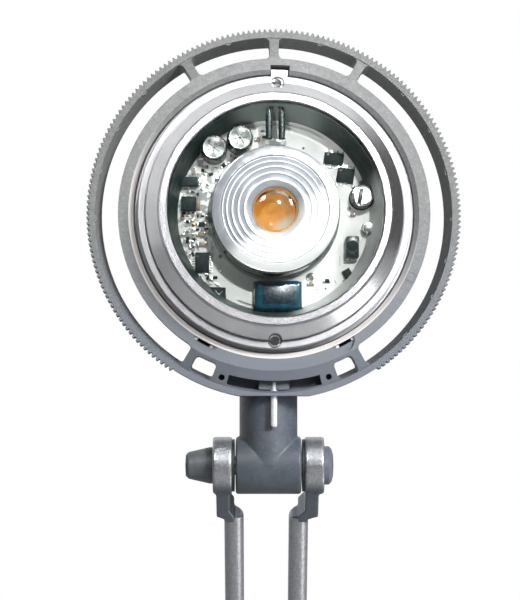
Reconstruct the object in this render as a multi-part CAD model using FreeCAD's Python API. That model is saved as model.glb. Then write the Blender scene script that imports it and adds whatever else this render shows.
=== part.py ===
import FreeCAD, Part
import math
import os

os.makedirs("parts", exist_ok=True)

# ---------------------------------------------------------------------------
# Table lamp with a round searchlight head on a folding twin-rod arm.
# Row frame: millimetres, +Z up, origin at the centre of the base's underside.
# The head faces -Y.
# ---------------------------------------------------------------------------

# base
BASE_R = 95.0            # outer radius of the cover
RIM_TOP = 18.5           # height of the cover's rim
CROWN_TOP = 27.0         # height of the cover's crown
WEIGHT_R = 90.0
WEIGHT_TOP = 17.0
PAD_T = 1.5              # foot pad thickness
POST_R = 9.0             # vertical post of the turret
SHOULDER_Z = 66.0        # shoulder axis above the table

# arms, measured pivot to pivot
LOWER_L = 320.0
UPPER_L = 300.0
LOWER_LEAN = 25.0        # degrees from vertical, towards the back
UPPER_LEAN = 32.0        # degrees from vertical, towards the front
ROD_R = 3.1
ROD_LEFT = 10.85         # rod axis from the middle plane, left casting
ROD_RIGHT = 9.5          # the same for the right casting
EYE_R = 8.85
EYE_IN = 11.2            # inner face of the upper arm's eyes
EYE_T = 6.0
STRAP_LEFT = 12.0        # inner face of the left strap
STRAP_RIGHT = 11.4
STRAP_T = 4.2
OUT_SHIFT = 6.5          # the lower arm is this much wider, each side
BOLT_R = 3.0
BOLT_HOLE_R = 3.06       # running fit
PRESS_HOLE_R = 3.02      # fit inside one body

# neck
BARREL_R = 8.85
BARREL_HALF = 10.15
NECK_R = 9.0
NECK_TOP = 21.9          # above the tilt axis, along the neck
HEAD_PITCH = -4.5        # degrees, top of the head away from the front
HEAD_YAW = 1.6           # degrees, head turned on its neck
FACE_Y = 13.5            # ring front plane ahead of the neck axis
HEAD_L = 76.85           # optical axis above the tilt axis
HEAD_DX = 1.35           # optical axis to the right of the neck axis

# head, all radii about the optical axis, heights towards the front from the
# ring's front plane
TEETH = 216
TIP_R = 57.5
ROOT_R = 56.55
SMOOTH_R = 56.7
FLAT_Y = -55.65          # small flat under the switch
TOOTH_FROM = -56.5
TOOTH_TO = 236.5
RIM_BACK = -8.0
RIM_IN_FRONT = 54.8
RIM_IN_BACK = 53.1
WEB_FRONT = -0.4
WEB_BACK = -6.4
INNER_R = 47.7
BORE_R = 42.95
BORE_CHAMFER = 1.3       # at the front edge of the bore
INNER_FRONT = 3.0
INNER_BACK = -5.0
SPOKE_HALF = 1.3
SLOT_HALF = 15.6         # degrees, half the switch slot
LEVER_R = 1.0
LEVER_IN = 51.5
LEVER_OUT = 65.2
LEVER_H = -2.6

V = FreeCAD.Vector
X, Y, Z = V(1, 0, 0), V(0, 1, 0), V(0, 0, 1)


def rad(d):
    return math.radians(d)


def place(pos=V(0, 0, 0), axis=Z, deg=0.0):
    return FreeCAD.Placement(pos, FreeCAD.Rotation(axis, deg))


def cyl(r, h, p=(0, 0, 0), d=(0, 0, 1)):
    return Part.makeCylinder(r, h, V(*p), V(*d))


def box(x0, x1, y0, y1, z0, z1):
    return Part.makeBox(x1 - x0, y1 - y0, z1 - z0, V(x0, y0, z0))


def tube(r_out, r_in, z0, z1):
    return cyl(r_out, z1 - z0, (0, 0, z0)).cut(cyl(r_in, z1 - z0 + 2, (0, 0, z0 - 1)))


def lathe(points):
    """Solid of revolution about Z from (radius, height) points."""
    pts = [V(r, 0, z) for r, z in points]
    face = Part.Face(Part.makePolygon(pts + [pts[0]]))
    return face.revolve(V(0, 0, 0), Z, 360)


def prism(points, plane, lo, hi):
    """Polygon extruded: plane xz goes along Y, yz along X, xy along Z."""
    if plane == "xz":
        pts = [V(a, lo, b) for a, b in points]
        d = V(0, hi - lo, 0)
    elif plane == "yz":
        pts = [V(lo, a, b) for a, b in points]
        d = V(hi - lo, 0, 0)
    else:
        pts = [V(a, b, lo) for a, b in points]
        d = V(0, 0, hi - lo)
    return Part.Face(Part.makePolygon(pts + [pts[0]])).extrude(d)


def polar(r, deg, z=0.0):
    return V(r * math.cos(rad(deg)), r * math.sin(rad(deg)), z)


def sector_wire(r1, r2, a1, a2, f, z):
    """Closed annular sector with four rounded corners."""
    i1 = math.degrees(math.asin(f / (r1 + f)))
    i2 = math.degrees(math.asin(f / (r2 - f)))
    s1 = math.sqrt((r1 + f) ** 2 - f * f)
    s2 = math.sqrt((r2 - f) ** 2 - f * f)

    def fillet_mid(rc, ac, inward, side):
        c = polar(rc, ac, z)
        radial = polar(1.0, ac) * (-1.0 if inward else 1.0)
        across = polar(1.0, ac + 90.0 * side)
        d = radial + across
        d.normalize()
        return c + d * f

    e = []
    e.append(Part.Arc(polar(r1, a1 + i1, z), polar(r1, (a1 + a2) / 2, z), polar(r1, a2 - i1, z)).toShape())
    e.append(Part.Arc(polar(r1, a2 - i1, z), fillet_mid(r1 + f, a2 - i1, True, 1), polar(s1, a2, z)).toShape())
    e.append(Part.LineSegment(polar(s1, a2, z), polar(s2, a2, z)).toShape())
    e.append(Part.Arc(polar(s2, a2, z), fillet_mid(r2 - f, a2 - i2, False, 1), polar(r2, a2 - i2, z)).toShape())
    e.append(Part.Arc(polar(r2, a2 - i2, z), polar(r2, (a1 + a2) / 2, z), polar(r2, a1 + i2, z)).toShape())
    e.append(Part.Arc(polar(r2, a1 + i2, z), fillet_mid(r2 - f, a1 + i2, False, -1), polar(s2, a1, z)).toShape())
    e.append(Part.LineSegment(polar(s2, a1, z), polar(s1, a1, z)).toShape())
    e.append(Part.Arc(polar(s1, a1, z), fillet_mid(r1 + f, a1 + i1, True, -1), polar(r1, a1 + i1, z)).toShape())
    return Part.Wire(e)


def sector(r1, r2, a1, a2, z0, z1):
    """Plain annular sector prism."""
    e = [
        Part.Arc(polar(r1, a1, z0), polar(r1, (a1 + a2) / 2, z0), polar(r1, a2, z0)).toShape(),
        Part.LineSegment(polar(r1, a2, z0), polar(r2, a2, z0)).toShape(),
        Part.Arc(polar(r2, a2, z0), polar(r2, (a1 + a2) / 2, z0), polar(r2, a1, z0)).toShape(),
        Part.LineSegment(polar(r2, a1, z0), polar(r1, a1, z0)).toShape(),
    ]
    return Part.Face(Part.Wire(e)).extrude(V(0, 0, z1 - z0))


def fillet_at(shape, r, test):
    edges = [e for e in shape.Edges if test(e)]
    return shape.makeFillet(r, edges) if edges else shape


def on_circle(r, z, tol=0.05):
    """Picks full circular edges of radius r at height z about the Z axis."""
    def test(e):
        c = e.Curve
        return (
            hasattr(c, "Radius")
            and abs(c.Radius - r) < tol
            and abs(c.Center.z - z) < tol
            and abs(c.Center.x) < tol
            and abs(c.Center.y) < tol
        )
    return test


def save(name, shapes, where=None):
    if not isinstance(shapes, (list, tuple)):
        shapes = [shapes]
    solids = []
    for s in shapes:
        s = s.removeSplitter() if s.ShapeType != "Solid" or len(s.Faces) > 1 else s
        solids.extend(s.Solids)
    if where is not None:
        m = where.toMatrix()
        solids = [s.transformed(m, True) for s in solids]
    out = solids[0] if len(solids) == 1 else Part.makeCompound(solids)
    if not out.isValid():
        print("NOT VALID", name)
    out.exportStep("parts/" + name + ".step")
    print("%-22s solids %2d  volume %9.1f" % (name, len(solids), out.Volume))


# --- frames of the moving groups ------------------------------------------------
S = V(0, 0, SHOULDER_Z)
E = S + V(0, math.sin(rad(LOWER_LEAN)), math.cos(rad(LOWER_LEAN))) * LOWER_L
H = E + V(0, -math.sin(rad(UPPER_LEAN)), math.cos(rad(UPPER_LEAN))) * UPPER_L
LOWER = place(S, X, -LOWER_LEAN)
UPPER = place(H, X, UPPER_LEAN)
NECK = place(H, X, HEAD_PITCH)
HEAD = NECK.multiply(place(V(0, 0, 0), Z, HEAD_YAW))
DISC = HEAD.multiply(place(V(HEAD_DX, -FACE_Y, HEAD_L), X, 90))
print("shoulder", S, "elbow", E, "tilt", H)
print("neck axis", NECK.Rotation.multVec(Z), "ring centre", DISC.Base)
print("optical axis", DISC.Rotation.multVec(Z))

# ===========================================================================
# Base
# ===========================================================================
save("base_pad", fillet_at(cyl(92.0, PAD_T), 0.5, on_circle(92.0, 0.0)))

weight = cyl(WEIGHT_R, WEIGHT_TOP - PAD_T - 0.05, (0, 0, PAD_T + 0.05))
weight = fillet_at(weight, 2.5, on_circle(WEIGHT_R, WEIGHT_TOP))
weight = weight.cut(cyl(12.0, 30)).cut(cyl(16.0, 11.0 - PAD_T, (0, 0, PAD_T)))
SCREW_XY = [polar(70.0, a) for a in (45, 135, 225, 315)]
for p in SCREW_XY:
    weight = weight.cut(cyl(2.3, 30, (p.x, p.y, 0))).cut(cyl(4.3, 3.1, (p.x, p.y, 1.4)))
weight = weight.cut(box(-4, 4, 15.0, 95.0, 1.0, 13.0))     # cable channel
save("base_weight", weight)

cover = lathe([(0, 1.6), (BASE_R, 1.6), (BASE_R, RIM_TOP), (20, CROWN_TOP), (0, CROWN_TOP)])
cover = fillet_at(cover, 5.0, on_circle(BASE_R, RIM_TOP))
cover = fillet_at(cover, 0.5, on_circle(BASE_R, 1.6))
inner = lathe([(0, 1.0), (93, 1.0), (93, 17.3), (19, 25.0), (0, 25.0)])
inner = fillet_at(inner, 3.2, on_circle(93, 17.3))
cover = cover.cut(inner)
for p in SCREW_XY:
    boss = cyl(5.0, 20.9 - (WEIGHT_TOP + 0.05), (p.x, p.y, WEIGHT_TOP + 0.05))
    cover = cover.fuse(boss)
for p in SCREW_XY:
    cover = cover.cut(cyl(2.02, 3.0, (p.x, p.y, WEIGHT_TOP)))
cover = cover.cut(cyl(12.0, 40))
cover = cover.cut(cyl(5.0, 10, (0, 88, 8.5), (0, 1, 0)))
save("base_cover", cover)

screws = []
for p in SCREW_XY:
    s = cyl(2.0, 15.6, (p.x, p.y, 4.0)).fuse(cyl(4.0, 2.6, (p.x, p.y, 1.7)))
    s = s.cut(prism([(p.x + 1.5 * math.cos(rad(60 * i)), p.y + 1.5 * math.sin(rad(60 * i))) for i in range(6)], "xy", 1.6, 3.2))
    screws.append(s)
save("base_screws", screws)

bush = lathe([(6.05, 11.0), (11.9, 11.0), (11.9, 27.05), (15.0, 27.05), (15.0, 27.9), (14.4, 28.5), (6.05, 28.5)])
save("base_bush", bush)

grommet = lathe([(3.0, 88.6), (6.4, 88.6), (6.4, 92.9), (4.9, 92.9), (4.9, 95.05), (6.6, 95.05), (6.2, 97.0), (5.2, 98.2), (3.0, 98.2)])
grommet = grommet.cut(box(-8, 8, -8, -4.0, 80, 92.9)).cut(box(-8, 8, 4.0, 8, 80, 92.9))
# the lathe axis Z becomes +Y: local x stays across, local y goes down
grommet = grommet.transformed(place(V(0, 0, 0), X, -90).toMatrix(), True)
grommet = grommet.transformed(place(V(0, 0, 8.5)).toMatrix(), True)
grommet = grommet.common(box(-7, 7, 92.95, 99, 1.7, 16)).fuse(grommet.common(box(-3.9, 3.9, 88, 92.95, 1.7, 16))).removeSplitter()
save("cable_grommet", grommet)

# ===========================================================================
# Turret: post that swivels in the base and carries the shoulder
# ===========================================================================
SB_HALF = EYE_IN + OUT_SHIFT - 0.75        # half length of the shoulder barrel
post = cyl(POST_R, SHOULDER_Z - 28.6, (0, 0, 28.6)).fuse(cyl(12.0, 3.0, (0, 0, 28.6)))
post = fillet_at(post, 1.2, on_circle(12.0, 31.6))
barrel = cyl(BARREL_R, 2 * SB_HALF, (-SB_HALF, 0, SHOULDER_Z), (1, 0, 0))
barrel = barrel.makeChamfer(0.6, [e for e in barrel.Edges if hasattr(e.Curve, "Radius")])
stub = cyl(6.0, 28.7 - 10.95, (0, 0, 10.95))
tee = post.fuse(barrel).fuse(stub)
tee = tee.cut(cyl(BOLT_HOLE_R, 60, (-30, 0, SHOULDER_Z), (1, 0, 0)))
tee = tee.cut(cyl(2.02, 14.2, (0, 0, 10.0)))
save("turret_tee", tee)
save("turret_washer", tube(13.0, 2.05, 9.9, 10.9))
ts = cyl(2.0, 14.0, (0, 0, 9.8)).fuse(cyl(4.2, 3.0, (0, 0, 6.85)))
ts = ts.cut(prism([(2.0 * math.cos(rad(60 * i)), 2.0 * math.sin(rad(60 * i))) for i in range(6)], "xy", 6.0, 8.8))
save("turret_screw", ts)


# ===========================================================================
# Arms: each side is one casting with an eye, a strap and a foot at both ends
# of a round rod. Built with the upper pivot at the origin, rod towards -Z.
# ===========================================================================
def arm_side(side, shift, length, hole):
    rx = ROD_LEFT if side < 0 else ROD_RIGHT
    si = STRAP_LEFT if side < 0 else STRAP_RIGHT
    so = si + STRAP_T

    def end():
        e = cyl(EYE_R, EYE_T, (EYE_IN, 0, 0), (1, 0, 0))
        e = e.makeChamfer(0.45, [k for k in e.Edges if hasattr(k.Curve, "Radius")])
        front = prism(
            [(max(si, EYE_IN), 0), (so, 0), (so, -16.4), (rx + 2.9, -17.5), (rx + 2.9, -18.8),
             (rx - 0.1, -18.8), (rx - 0.1, -16.2), (si, -14.0)], "xz", -9, 9)
        sidev = prism([(-7.6, 0), (7.6, 0), (4.6, -20.0), (-4.6, -20.0)], "yz", 5, 20)
        return e.fuse(front.common(sidev))

    rod = cyl(ROD_R, length - 2 * 14.0, (rx, 0, -(length - 14.0)))
    cutter = prism([(3, -12), (si, -12), (si, -17.3), (rx - 0.7, -17.9), (3, -21.0)], "xz", -9, 9)
    rod = rod.cut(cutter)
    # the far end is the near end turned over about X
    flip = FreeCAD.Placement(V(0, 0, -length), FreeCAD.Rotation(X, 180))
    rod = rod.cut(cutter.transformed(flip.toMatrix(), True))
    body = end().fuse(end().transformed(flip.toMatrix(), True)).fuse(rod)
    body = body.transformed(place(V(shift, 0, 0)).toMatrix(), True)
    for z, r in ((0, hole[0]), (-length, hole[1])):
        body = body.cut(cyl(r, 40, (0, 0, z), (1, 0, 0)))
    body = body.removeSplitter()
    if side < 0:
        body = body.mirror(V(0, 0, 0), X)
    return body


# upper arm: tilt bolt is held at the top, elbow bolt runs free at the bottom
save("upper_arm_left", arm_side(-1, 0.0, UPPER_L, (PRESS_HOLE_R, BOLT_HOLE_R)), UPPER)
save("upper_arm_right", arm_side(1, 0.0, UPPER_L, (PRESS_HOLE_R, BOLT_HOLE_R)), UPPER)
# lower arm: local origin at the elbow, both bolts held
LOWER_TOP = place(E, X, -LOWER_LEAN)
save("lower_arm_left", arm_side(-1, OUT_SHIFT, LOWER_L, (PRESS_HOLE_R, PRESS_HOLE_R)), LOWER_TOP)
save("lower_arm_right", arm_side(1, OUT_SHIFT, LOWER_L, (PRESS_HOLE_R, PRESS_HOLE_R)), LOWER_TOP)


def bolt(half_out):
    """Clamp bolt along X: plain shank, threaded left end, head hidden in the cap."""
    b = cyl(BOLT_R, 2 * half_out + 5.6, (-half_out - 5.6, 0, 0), (1, 0, 0))
    return b


def knob(x_face):
    """Round taper knob on the left; x_face is the eye's outer face."""
    p = lathe([(0, 0.1), (5.65, 0.1), (5.65, 1.0), (4.15, 7.5), (3.3, 8.4), (0, 8.6)])
    p = fillet_at(p, 0.5, on_circle(4.15, 7.5))
    p = p.cut(cyl(BOLT_HOLE_R, 6.0, (0, 0, 0)))
    return p.transformed(place(V(-x_face, 0, 0), Y, -90).toMatrix(), True)


def cap(x_face):
    """Domed cap on the right that covers the bolt's end."""
    p = lathe([(0, 0.05), (5.95, 0.05), (5.95, 1.5), (5.2, 2.3), (3.4, 2.8), (0, 3.0)])
    return p.transformed(place(V(x_face, 0, 0), Y, 90).toMatrix(), True)


def washers(x0, x1):
    w = []
    for s in (-1, 1):
        t = tube(8.1, 3.06, x0, x1)
        w.append(t.transformed(place(V(0, 0, 0), Y, 90 * s).toMatrix(), True))
    return w


EYE_OUT = EYE_IN + EYE_T
SHO_IN, SHO_OUT = EYE_IN + OUT_SHIFT, EYE_OUT + OUT_SHIFT
TILT_AT, ELBOW_AT, SHOULDER_AT = place(H, X, UPPER_LEAN), place(E, X, -LOWER_LEAN), place(S, X, -LOWER_LEAN)

save("tilt_bolt", bolt(EYE_OUT), TILT_AT)
save("tilt_cap", cap(EYE_OUT), TILT_AT)
save("tilt_washers", washers(BARREL_HALF + 0.3, EYE_IN - 0.04), TILT_AT)
save("tilt_knob", knob(EYE_OUT), TILT_AT)

spacer = cyl(BARREL_R, 2 * EYE_IN - 0.1, (-EYE_IN + 0.05, 0, 0), (1, 0, 0))
spacer = spacer.makeChamfer(0.6, [e for e in spacer.Edges if hasattr(e.Curve, "Radius")])
spacer = spacer.cut(cyl(BOLT_HOLE_R, 60, (-30, 0, 0), (1, 0, 0)))
save("elbow_spacer", spacer, place(E, X, UPPER_LEAN))
save("elbow_bolt", bolt(SHO_OUT), ELBOW_AT)
save("elbow_cap", cap(SHO_OUT), ELBOW_AT)
save("elbow_washers", washers(EYE_OUT + 0.1, SHO_IN - 0.04), ELBOW_AT)
save("elbow_knob", knob(SHO_OUT), ELBOW_AT)

save("shoulder_bolt", bolt(SHO_OUT), SHOULDER_AT)
save("shoulder_cap", cap(SHO_OUT), SHOULDER_AT)
save("shoulder_washers", washers(SB_HALF + 0.1, SHO_IN - 0.04), SHOULDER_AT)
save("shoulder_knob", knob(SHO_OUT), SHOULDER_AT)

# ===========================================================================
# Neck: barrel on the tilt bolt with an upright of the same diameter
# ===========================================================================
nb = cyl(BARREL_R, 2 * BARREL_HALF, (-BARREL_HALF, 0, 0), (1, 0, 0))
nb = nb.makeChamfer(0.5, [e for e in nb.Edges if hasattr(e.Curve, "Radius")])
neck = nb.fuse(cyl(NECK_R, NECK_TOP)).fuse(cyl(4.5, 27.4))
neck = neck.cut(cyl(BOLT_HOLE_R, 60, (-30, 0, 0), (1, 0, 0)))
neck = neck.cut(cyl(1.52, 10, (0, 0, 17.4)))
save("neck_tee", neck, NECK)
save("neck_washer", tube(6.0, 1.55, 27.45, 28.4), NECK)
ns = cyl(1.5, 10.4, (0, 0, 18.2)).fuse(cyl(3.1, 2.0, (0, 0, 28.45)))
ns = ns.cut(prism([(1.3 * math.cos(rad(60 * i)), 1.3 * math.sin(rad(60 * i))) for i in range(6)], "xy", 29.2, 31))
save("neck_screw", ns, NECK)

# ===========================================================================
# Head (disc frame: X right, Y up, Z towards the front)
# ===========================================================================
# the swivel axis seen in the disc frame runs along Y at X = -HEAD_DX, Z = -FACE_Y
def neck_cyl(r, lo, hi):
    """Cylinder about the swivel axis between two heights above the tilt axis."""
    return cyl(r, hi - lo, (-HEAD_DX, lo - HEAD_L, -FACE_Y), (0, 1, 0))


# toothed outline
pitch = 360.0 / TEETH
pts = []
n = int(round((TOOTH_TO - TOOTH_FROM) / pitch))
for i in range(n):
    a = TOOTH_FROM + i * pitch
    pts.append(polar(ROOT_R, a, RIM_BACK))
    pts.append(polar(ROOT_R, a + 0.22 * pitch, RIM_BACK))
    pts.append(polar(TIP_R, a + 0.55 * pitch, RIM_BACK))
    pts.append(polar(TIP_R, a + 0.72 * pitch, RIM_BACK))
end_a = TOOTH_FROM + n * pitch
pts.append(polar(ROOT_R, end_a, RIM_BACK))
pts.append(polar(SMOOTH_R, end_a + 0.6, RIM_BACK))
edges = [Part.LineSegment(pts[i], pts[i + 1]).toShape() for i in range(len(pts) - 1)]
start = polar(SMOOTH_R, TOOTH_FROM + 360 - 0.6, RIM_BACK)
edges.append(Part.Arc(pts[-1], polar(SMOOTH_R, 270, RIM_BACK), start).toShape())
edges.append(Part.LineSegment(start, pts[0]).toShape())
ring = Part.Face(Part.Wire(edges)).extrude(V(0, 0, -RIM_BACK))
ring = ring.cut(cyl(BORE_R, 20, (0, 0, -10)))
# the web between rim and inner ring is thinner than the rim
ring = ring.cut(tube(RIM_IN_FRONT, 40.0, WEB_FRONT, 1.0))
ring = ring.cut(tube(RIM_IN_BACK, 40.0, RIM_BACK - 1, WEB_BACK))
# the inner ring's face runs out over the spokes and the pad to the rim
ring = ring.fuse(lathe([(BORE_R, INNER_BACK), (54.9, INNER_BACK), (54.9, WEB_FRONT), (48.2, INNER_FRONT),
                        (BORE_R + BORE_CHAMFER, INNER_FRONT), (BORE_R, INNER_FRONT - BORE_CHAMFER)]))
ring = ring.cut(tube(INNER_R + 0.001, 40.0, RIM_BACK - 1, INNER_BACK))
hs = 1.55                                     # half a spoke, in degrees
for a1, a2 in ((60 + hs, 90 - hs), (90 + hs, 120 - hs), (120 + hs, 240 - hs),
               (-60 + hs, 60 - hs), (240 + hs, 249.25), (291.25, 300 - hs)):
    f = 1.5 if a2 - a1 > 10 else 1.2
    draft = (RIM_IN_FRONT - RIM_IN_BACK) / 2.0
    ri = INNER_R if a2 - a1 > 15 else (INNER_R + 1.5 if a1 > 239 else INNER_R)
    w = [sector_wire(ri, RIM_IN_BACK - draft, a1, a2, f, RIM_BACK - 4.0),
         sector_wire(ri, RIM_IN_FRONT + draft, a1, a2, f, 4.0)]
    ring = ring.cut(Part.makeLoft(w, True, True))
# moulded pads on the rim's inner edge
marks = [43.2, 28.4, 13.7, -1.4, -15.1, -27.5, -42.8, 137.0, 151.6, 166.3, 181.4, 195.1, 208.5, 222.8, 75.0, 105.0]
for a in marks:
    p = polar(55.5, a)
    ring = ring.fuse(cyl(1.25, 6.6, (p.x, p.y, -7.0)).cut(cyl(0.85, 1, (p.x, p.y, -0.6))))
# bore notch on top for the bezel's lug
ring = ring.cut(sector(42.0, 45.7, 84.0, 91.5, -6, 4))
# two slots below, each with a small sunk shelf outside it
for a in (241.5, 298.5):
    ring = ring.cut(sector(44.6, 45.6, a - 3.9, a + 3.9, -6, 4))
    p = polar(43.9, a + (0.6 if a < 270 else -0.6))
    ring = ring.cut(cyl(3.8, 4, (p.x, p.y, INNER_FRONT - 0.9)).cut(cyl(44.55, 8, (0, 0, -1))))
# switch: front window, pocket for the slider, and slot through the rim
ring = ring.cut(sector(51.2, 54.2, 270 - SLOT_HALF, 270 + SLOT_HALF, -3.0, 4.0))
ring = ring.cut(sector(49.2, 54.1, 270 - SLOT_HALF, 270 + SLOT_HALF, -6.0, -1.4))
ring = ring.cut(sector(53.5, 59.0, 270 - 12.6, 270 + 12.6, -4.0, -1.2))
ring = ring.cut(box(-20, 20, -60, FLAT_Y, -9, 1))
# screw holes of the neck socket, seen from the front as two small dark holes
SOCKET_A = (252.25, 288.4)
for a in SOCKET_A:
    p = polar(52.6, a)
    ring = ring.cut(cyl(0.92, 12, (p.x, p.y, -9)))
# room behind the pad for the socket's plate
ring = ring.cut(sector(47.0, 54.3, 249.6, 290.4, RIM_BACK - 1, WEB_BACK))
# relief for the neck's upright
ring = ring.cut(neck_cyl(9.3, 18.0, 22.25))
# small raised discs on the inner ring
for a in (62.0, 108.0, 127.0, 335.0, 205.0):
    p = polar(46.0, a)
    ring = ring.fuse(tube(1.6, 1.25, INNER_FRONT - 0.4, INNER_FRONT + 0.15).transformed(place(V(p.x, p.y, 0)).toMatrix(), True))
save("head_ring", ring, DISC)

# neck socket: boss around the neck's stub with a plate behind the ring's pad
env = cyl(47.6, 2.2, (0, 0, -7.05)).fuse(cyl(42.62, 40, (0, 0, -45)))
boss = neck_cyl(NECK_R, 22.25, 40.0)
boss = boss.cut(box(-20, 20, -60, 0, WEB_BACK - 0.03, 20))
plate = sector(48.4, 53.9, 250.2, 289.8, WEB_BACK - 2.2, WEB_BACK - 0.03)
plate = plate.cut(neck_cyl(9.3, 10.0, 22.25))
gusset = prism([(-13, -52.5), (13, -52.5), (9, -45.5), (-9, -45.5)], "xy", -9.6, -7.2)
gusset = gusset.cut(neck_cyl(9.3, 10.0, 22.25)).cut(cyl(60, 10, (0, 0, -7.0)))
socket = boss.fuse(plate).fuse(gusset)
socket = socket.cut(tube(60.0, 54.0, RIM_BACK - 0.1, 1.0))
socket = socket.cut(env).cut(neck_cyl(4.53, 20, 27.1)).cut(neck_cyl(6.3, 27.0, 45))
socket = socket.cut(box(-30, 30, -20, 40, -60, 30))
for a in SOCKET_A:
    p = polar(52.6, a)
    socket = socket.cut(cyl(1.12, 12, (p.x, p.y, -12)))
# only the lump around the swivel axis is kept
socket = max(socket.Solids, key=lambda s: s.Volume)
save("neck_socket", socket, DISC)

scr = []
for a in SOCKET_A:
    p = polar(52.6, a)
    scr.append(cyl(0.9, 6.1, (p.x, p.y, -8.7)).fuse(cyl(1.9, 1.3, (p.x, p.y, -9.95))))
save("socket_screws", scr, DISC)

# rear cover: vented cup with a flange behind the inner ring
rc = lathe([(0, -33.0), (42.5, -33.0), (42.5, -7.0), (47.5, -7.0), (47.5, -5.05), (0, -5.05)])
rc = fillet_at(rc, 8.0, on_circle(42.5, -33.0))
ri = lathe([(0, -31.0), (40.5, -31.0), (40.5, -4.0), (0, -4.0)])
ri = fillet_at(ri, 6.2, on_circle(40.5, -31.0))
rc = rc.cut(ri)
for i in range(-4, 5):
    half = 26.0 - abs(i) * 2.2
    x = i * 6.4
    slot = box(x - 1.3, x + 1.3, -half, half, -40, -28).fuse(cyl(1.3, 12, (x, half, -40))).fuse(cyl(1.3, 12, (x, -half, -40)))
    rc = rc.cut(slot)
for i in range(24):
    a = i * 15.0
    if 240 <= a <= 300:
        continue
    p = polar(44.0, a)
    s = box(-6, 6, -1.2, 1.2, -22, -12).transformed(place(V(0, 0, 0), Z, a).toMatrix(), True)
    s = s.transformed(place(V(polar(41.5, a).x, polar(41.5, a).y, 0)).toMatrix(), True)
    rc = rc.cut(s)
COVER_A = (30.0, 150.0, 225.0, 315.0)
for a in COVER_A:
    p = polar(45.4, a)
    rc = rc.cut(cyl(1.1, 6, (p.x, p.y, -9)))
save("rear_cover", rc, DISC)
cs = []
for a in COVER_A:
    p = polar(45.4, a)
    cs.append(cyl(2.0, 1.3, (p.x, p.y, -8.35)).fuse(cyl(1.0, 2.0, (p.x, p.y, -7.1))))
save("cover_screws", cs, DISC)

# heat sink: plate with straight fins
hsink = cyl(39.9, 3.35, (0, 0, -9.0))
for i in range(-4, 5):
    fin = box(i * 8.4 - 1.0, i * 8.4 + 1.0, -39, 39, -27.0, -8.9).common(cyl(38.8, 30, (0, 0, -28)))
    hsink = hsink.fuse(fin)
hsink = hsink.fuse(cyl(9.0, 10, (0, 0, -18.0)))
save("heat_sink", hsink, DISC)

# bezel: outer flange and inner crowned ring
NOTCH = [(0.84, 39.3), (0.0, -39.3)]
SEAT = 4.7               # height of the bezel screws' seats
FLANGE_R = BORE_R - 0.17
flange = lathe([(39.42, -4.95), (FLANGE_R, -4.95), (FLANGE_R, 0.5), (42.5, 0.8), (41.75, 0.8), (41.65, 5.6), (41.4, 6.0),
                (39.65, 6.0), (39.42, 5.8)])
# lug that fills the ring's top notch
flange = flange.fuse(sector(41.2, 44.3, 84.6, 91.3, -2.0, 2.4))
bez = lathe([(33.7, -5.5), (39.22, -5.5), (39.22, 8.2), (38.9, 8.9), (37.2, 10.9), (35.5, 12.9),
             (35.2, 14.0), (34.8, 14.6), (33.0, 14.6), (32.6, 14.3), (32.6, 14.0), (33.7, 14.0)])
relief = lathe([(35.2, -6.5), (36.7, -6.5), (36.7, 4.6), (36.0, 5.8), (35.2, 5.8)])
bez = bez.cut(relief)
bs = []
for x, y in NOTCH:
    flange = flange.cut(cyl(2.15, 12, (x, y, SEAT))).cut(cyl(1.05, 5, (x, y, SEAT - 4.1)))
    bez = bez.cut(cyl(2.15, 12, (x, y, SEAT))).cut(cyl(1.05, 5, (x, y, SEAT - 4.1)))
    s = cyl(1.9, 1.5, (x, y, SEAT + 0.05)).fuse(cyl(1.0, 3.9, (x, y, SEAT - 3.8)))
    s = fillet_at(s, 0.6, lambda e: hasattr(e.Curve, "Radius") and abs(e.Curve.Radius - 1.9) < 0.01 and abs(e.Curve.Center.z - SEAT - 1.55) < 0.01)
    s = s.cut(box(x - 1.3, x + 1.3, y - 0.28, y + 0.28, SEAT + 0.9, SEAT + 3)).cut(box(x - 0.28, x + 0.28, y - 1.3, y + 1.3, SEAT + 0.9, SEAT + 3))
    bs.append(s)
save("bezel_flange", flange, DISC)
save("bezel_ring", bez, DISC)
save("bezel_screws", bs, DISC)

save("cover_glass", cyl(33.6, 0.95, (0, 0, 13.0)), DISC)
save("glass_gasket", tube(33.6, 32.0, 12.1, 12.95), DISC)

board = cyl(33.4, 1.55, (0, 0, -5.6))
for a in (20, 140, 260):
    p = polar(29.5, a)
    board = board.cut(cyl(1.2, 3, (p.x, p.y, -6)))
save("led_board", board, DISC)
save("led_package", box(-6, 6, -6, 6, -4.0, -3.0), DISC)
save("led_phosphor", lathe([(0, -2.98), (4.2, -2.98), (4.2, -2.6), (3.2, -2.35), (0, -2.25)]), DISC)

# lens: grooved front around a low dome, tapered back with a pocket for the light
# source
rings = [6.9, 9.55, 11.45, 13.25, 14.85, 16.2]
prof = [(0, 12.75), (2.2, 12.6), (4.2, 12.15), (5.7, 11.5), (6.7, 10.9), (6.9, 10.9)]
for r0, r1 in zip(rings[:-1], rings[1:]):
    prof += [(r0 + 0.15, 11.4), (r1 - 0.1, 12.35), (r1, 11.4)]
prof += [(16.3, 12.5), (19.15, 12.5), (19.15, 11.0), (17.3, 11.0), (14.2, 6.2), (10.6, 2.0), (6.6, -2.0), (5.2, -2.0), (5.2, 3.0), (0, 3.6)]
save("lens", lathe(prof), DISC)

holder = lathe([(18.3, -3.95), (20.3, -3.95), (20.3, -2.9), (19.7, -2.7), (19.5, 10.95), (17.6, 10.95), (17.6, 10.2), (18.3, 9.6)])
for a in (90, 162, 234, 306, 18):
    holder = holder.cut(box(17, 24, -1.5, 1.5, 6.0, 12).transformed(place(V(0, 0, 0), Z, a).toMatrix(), True))
save("lens_holder", holder, DISC)

# electronics on the board
BT = -4.02       # underside of what stands on the board


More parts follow.
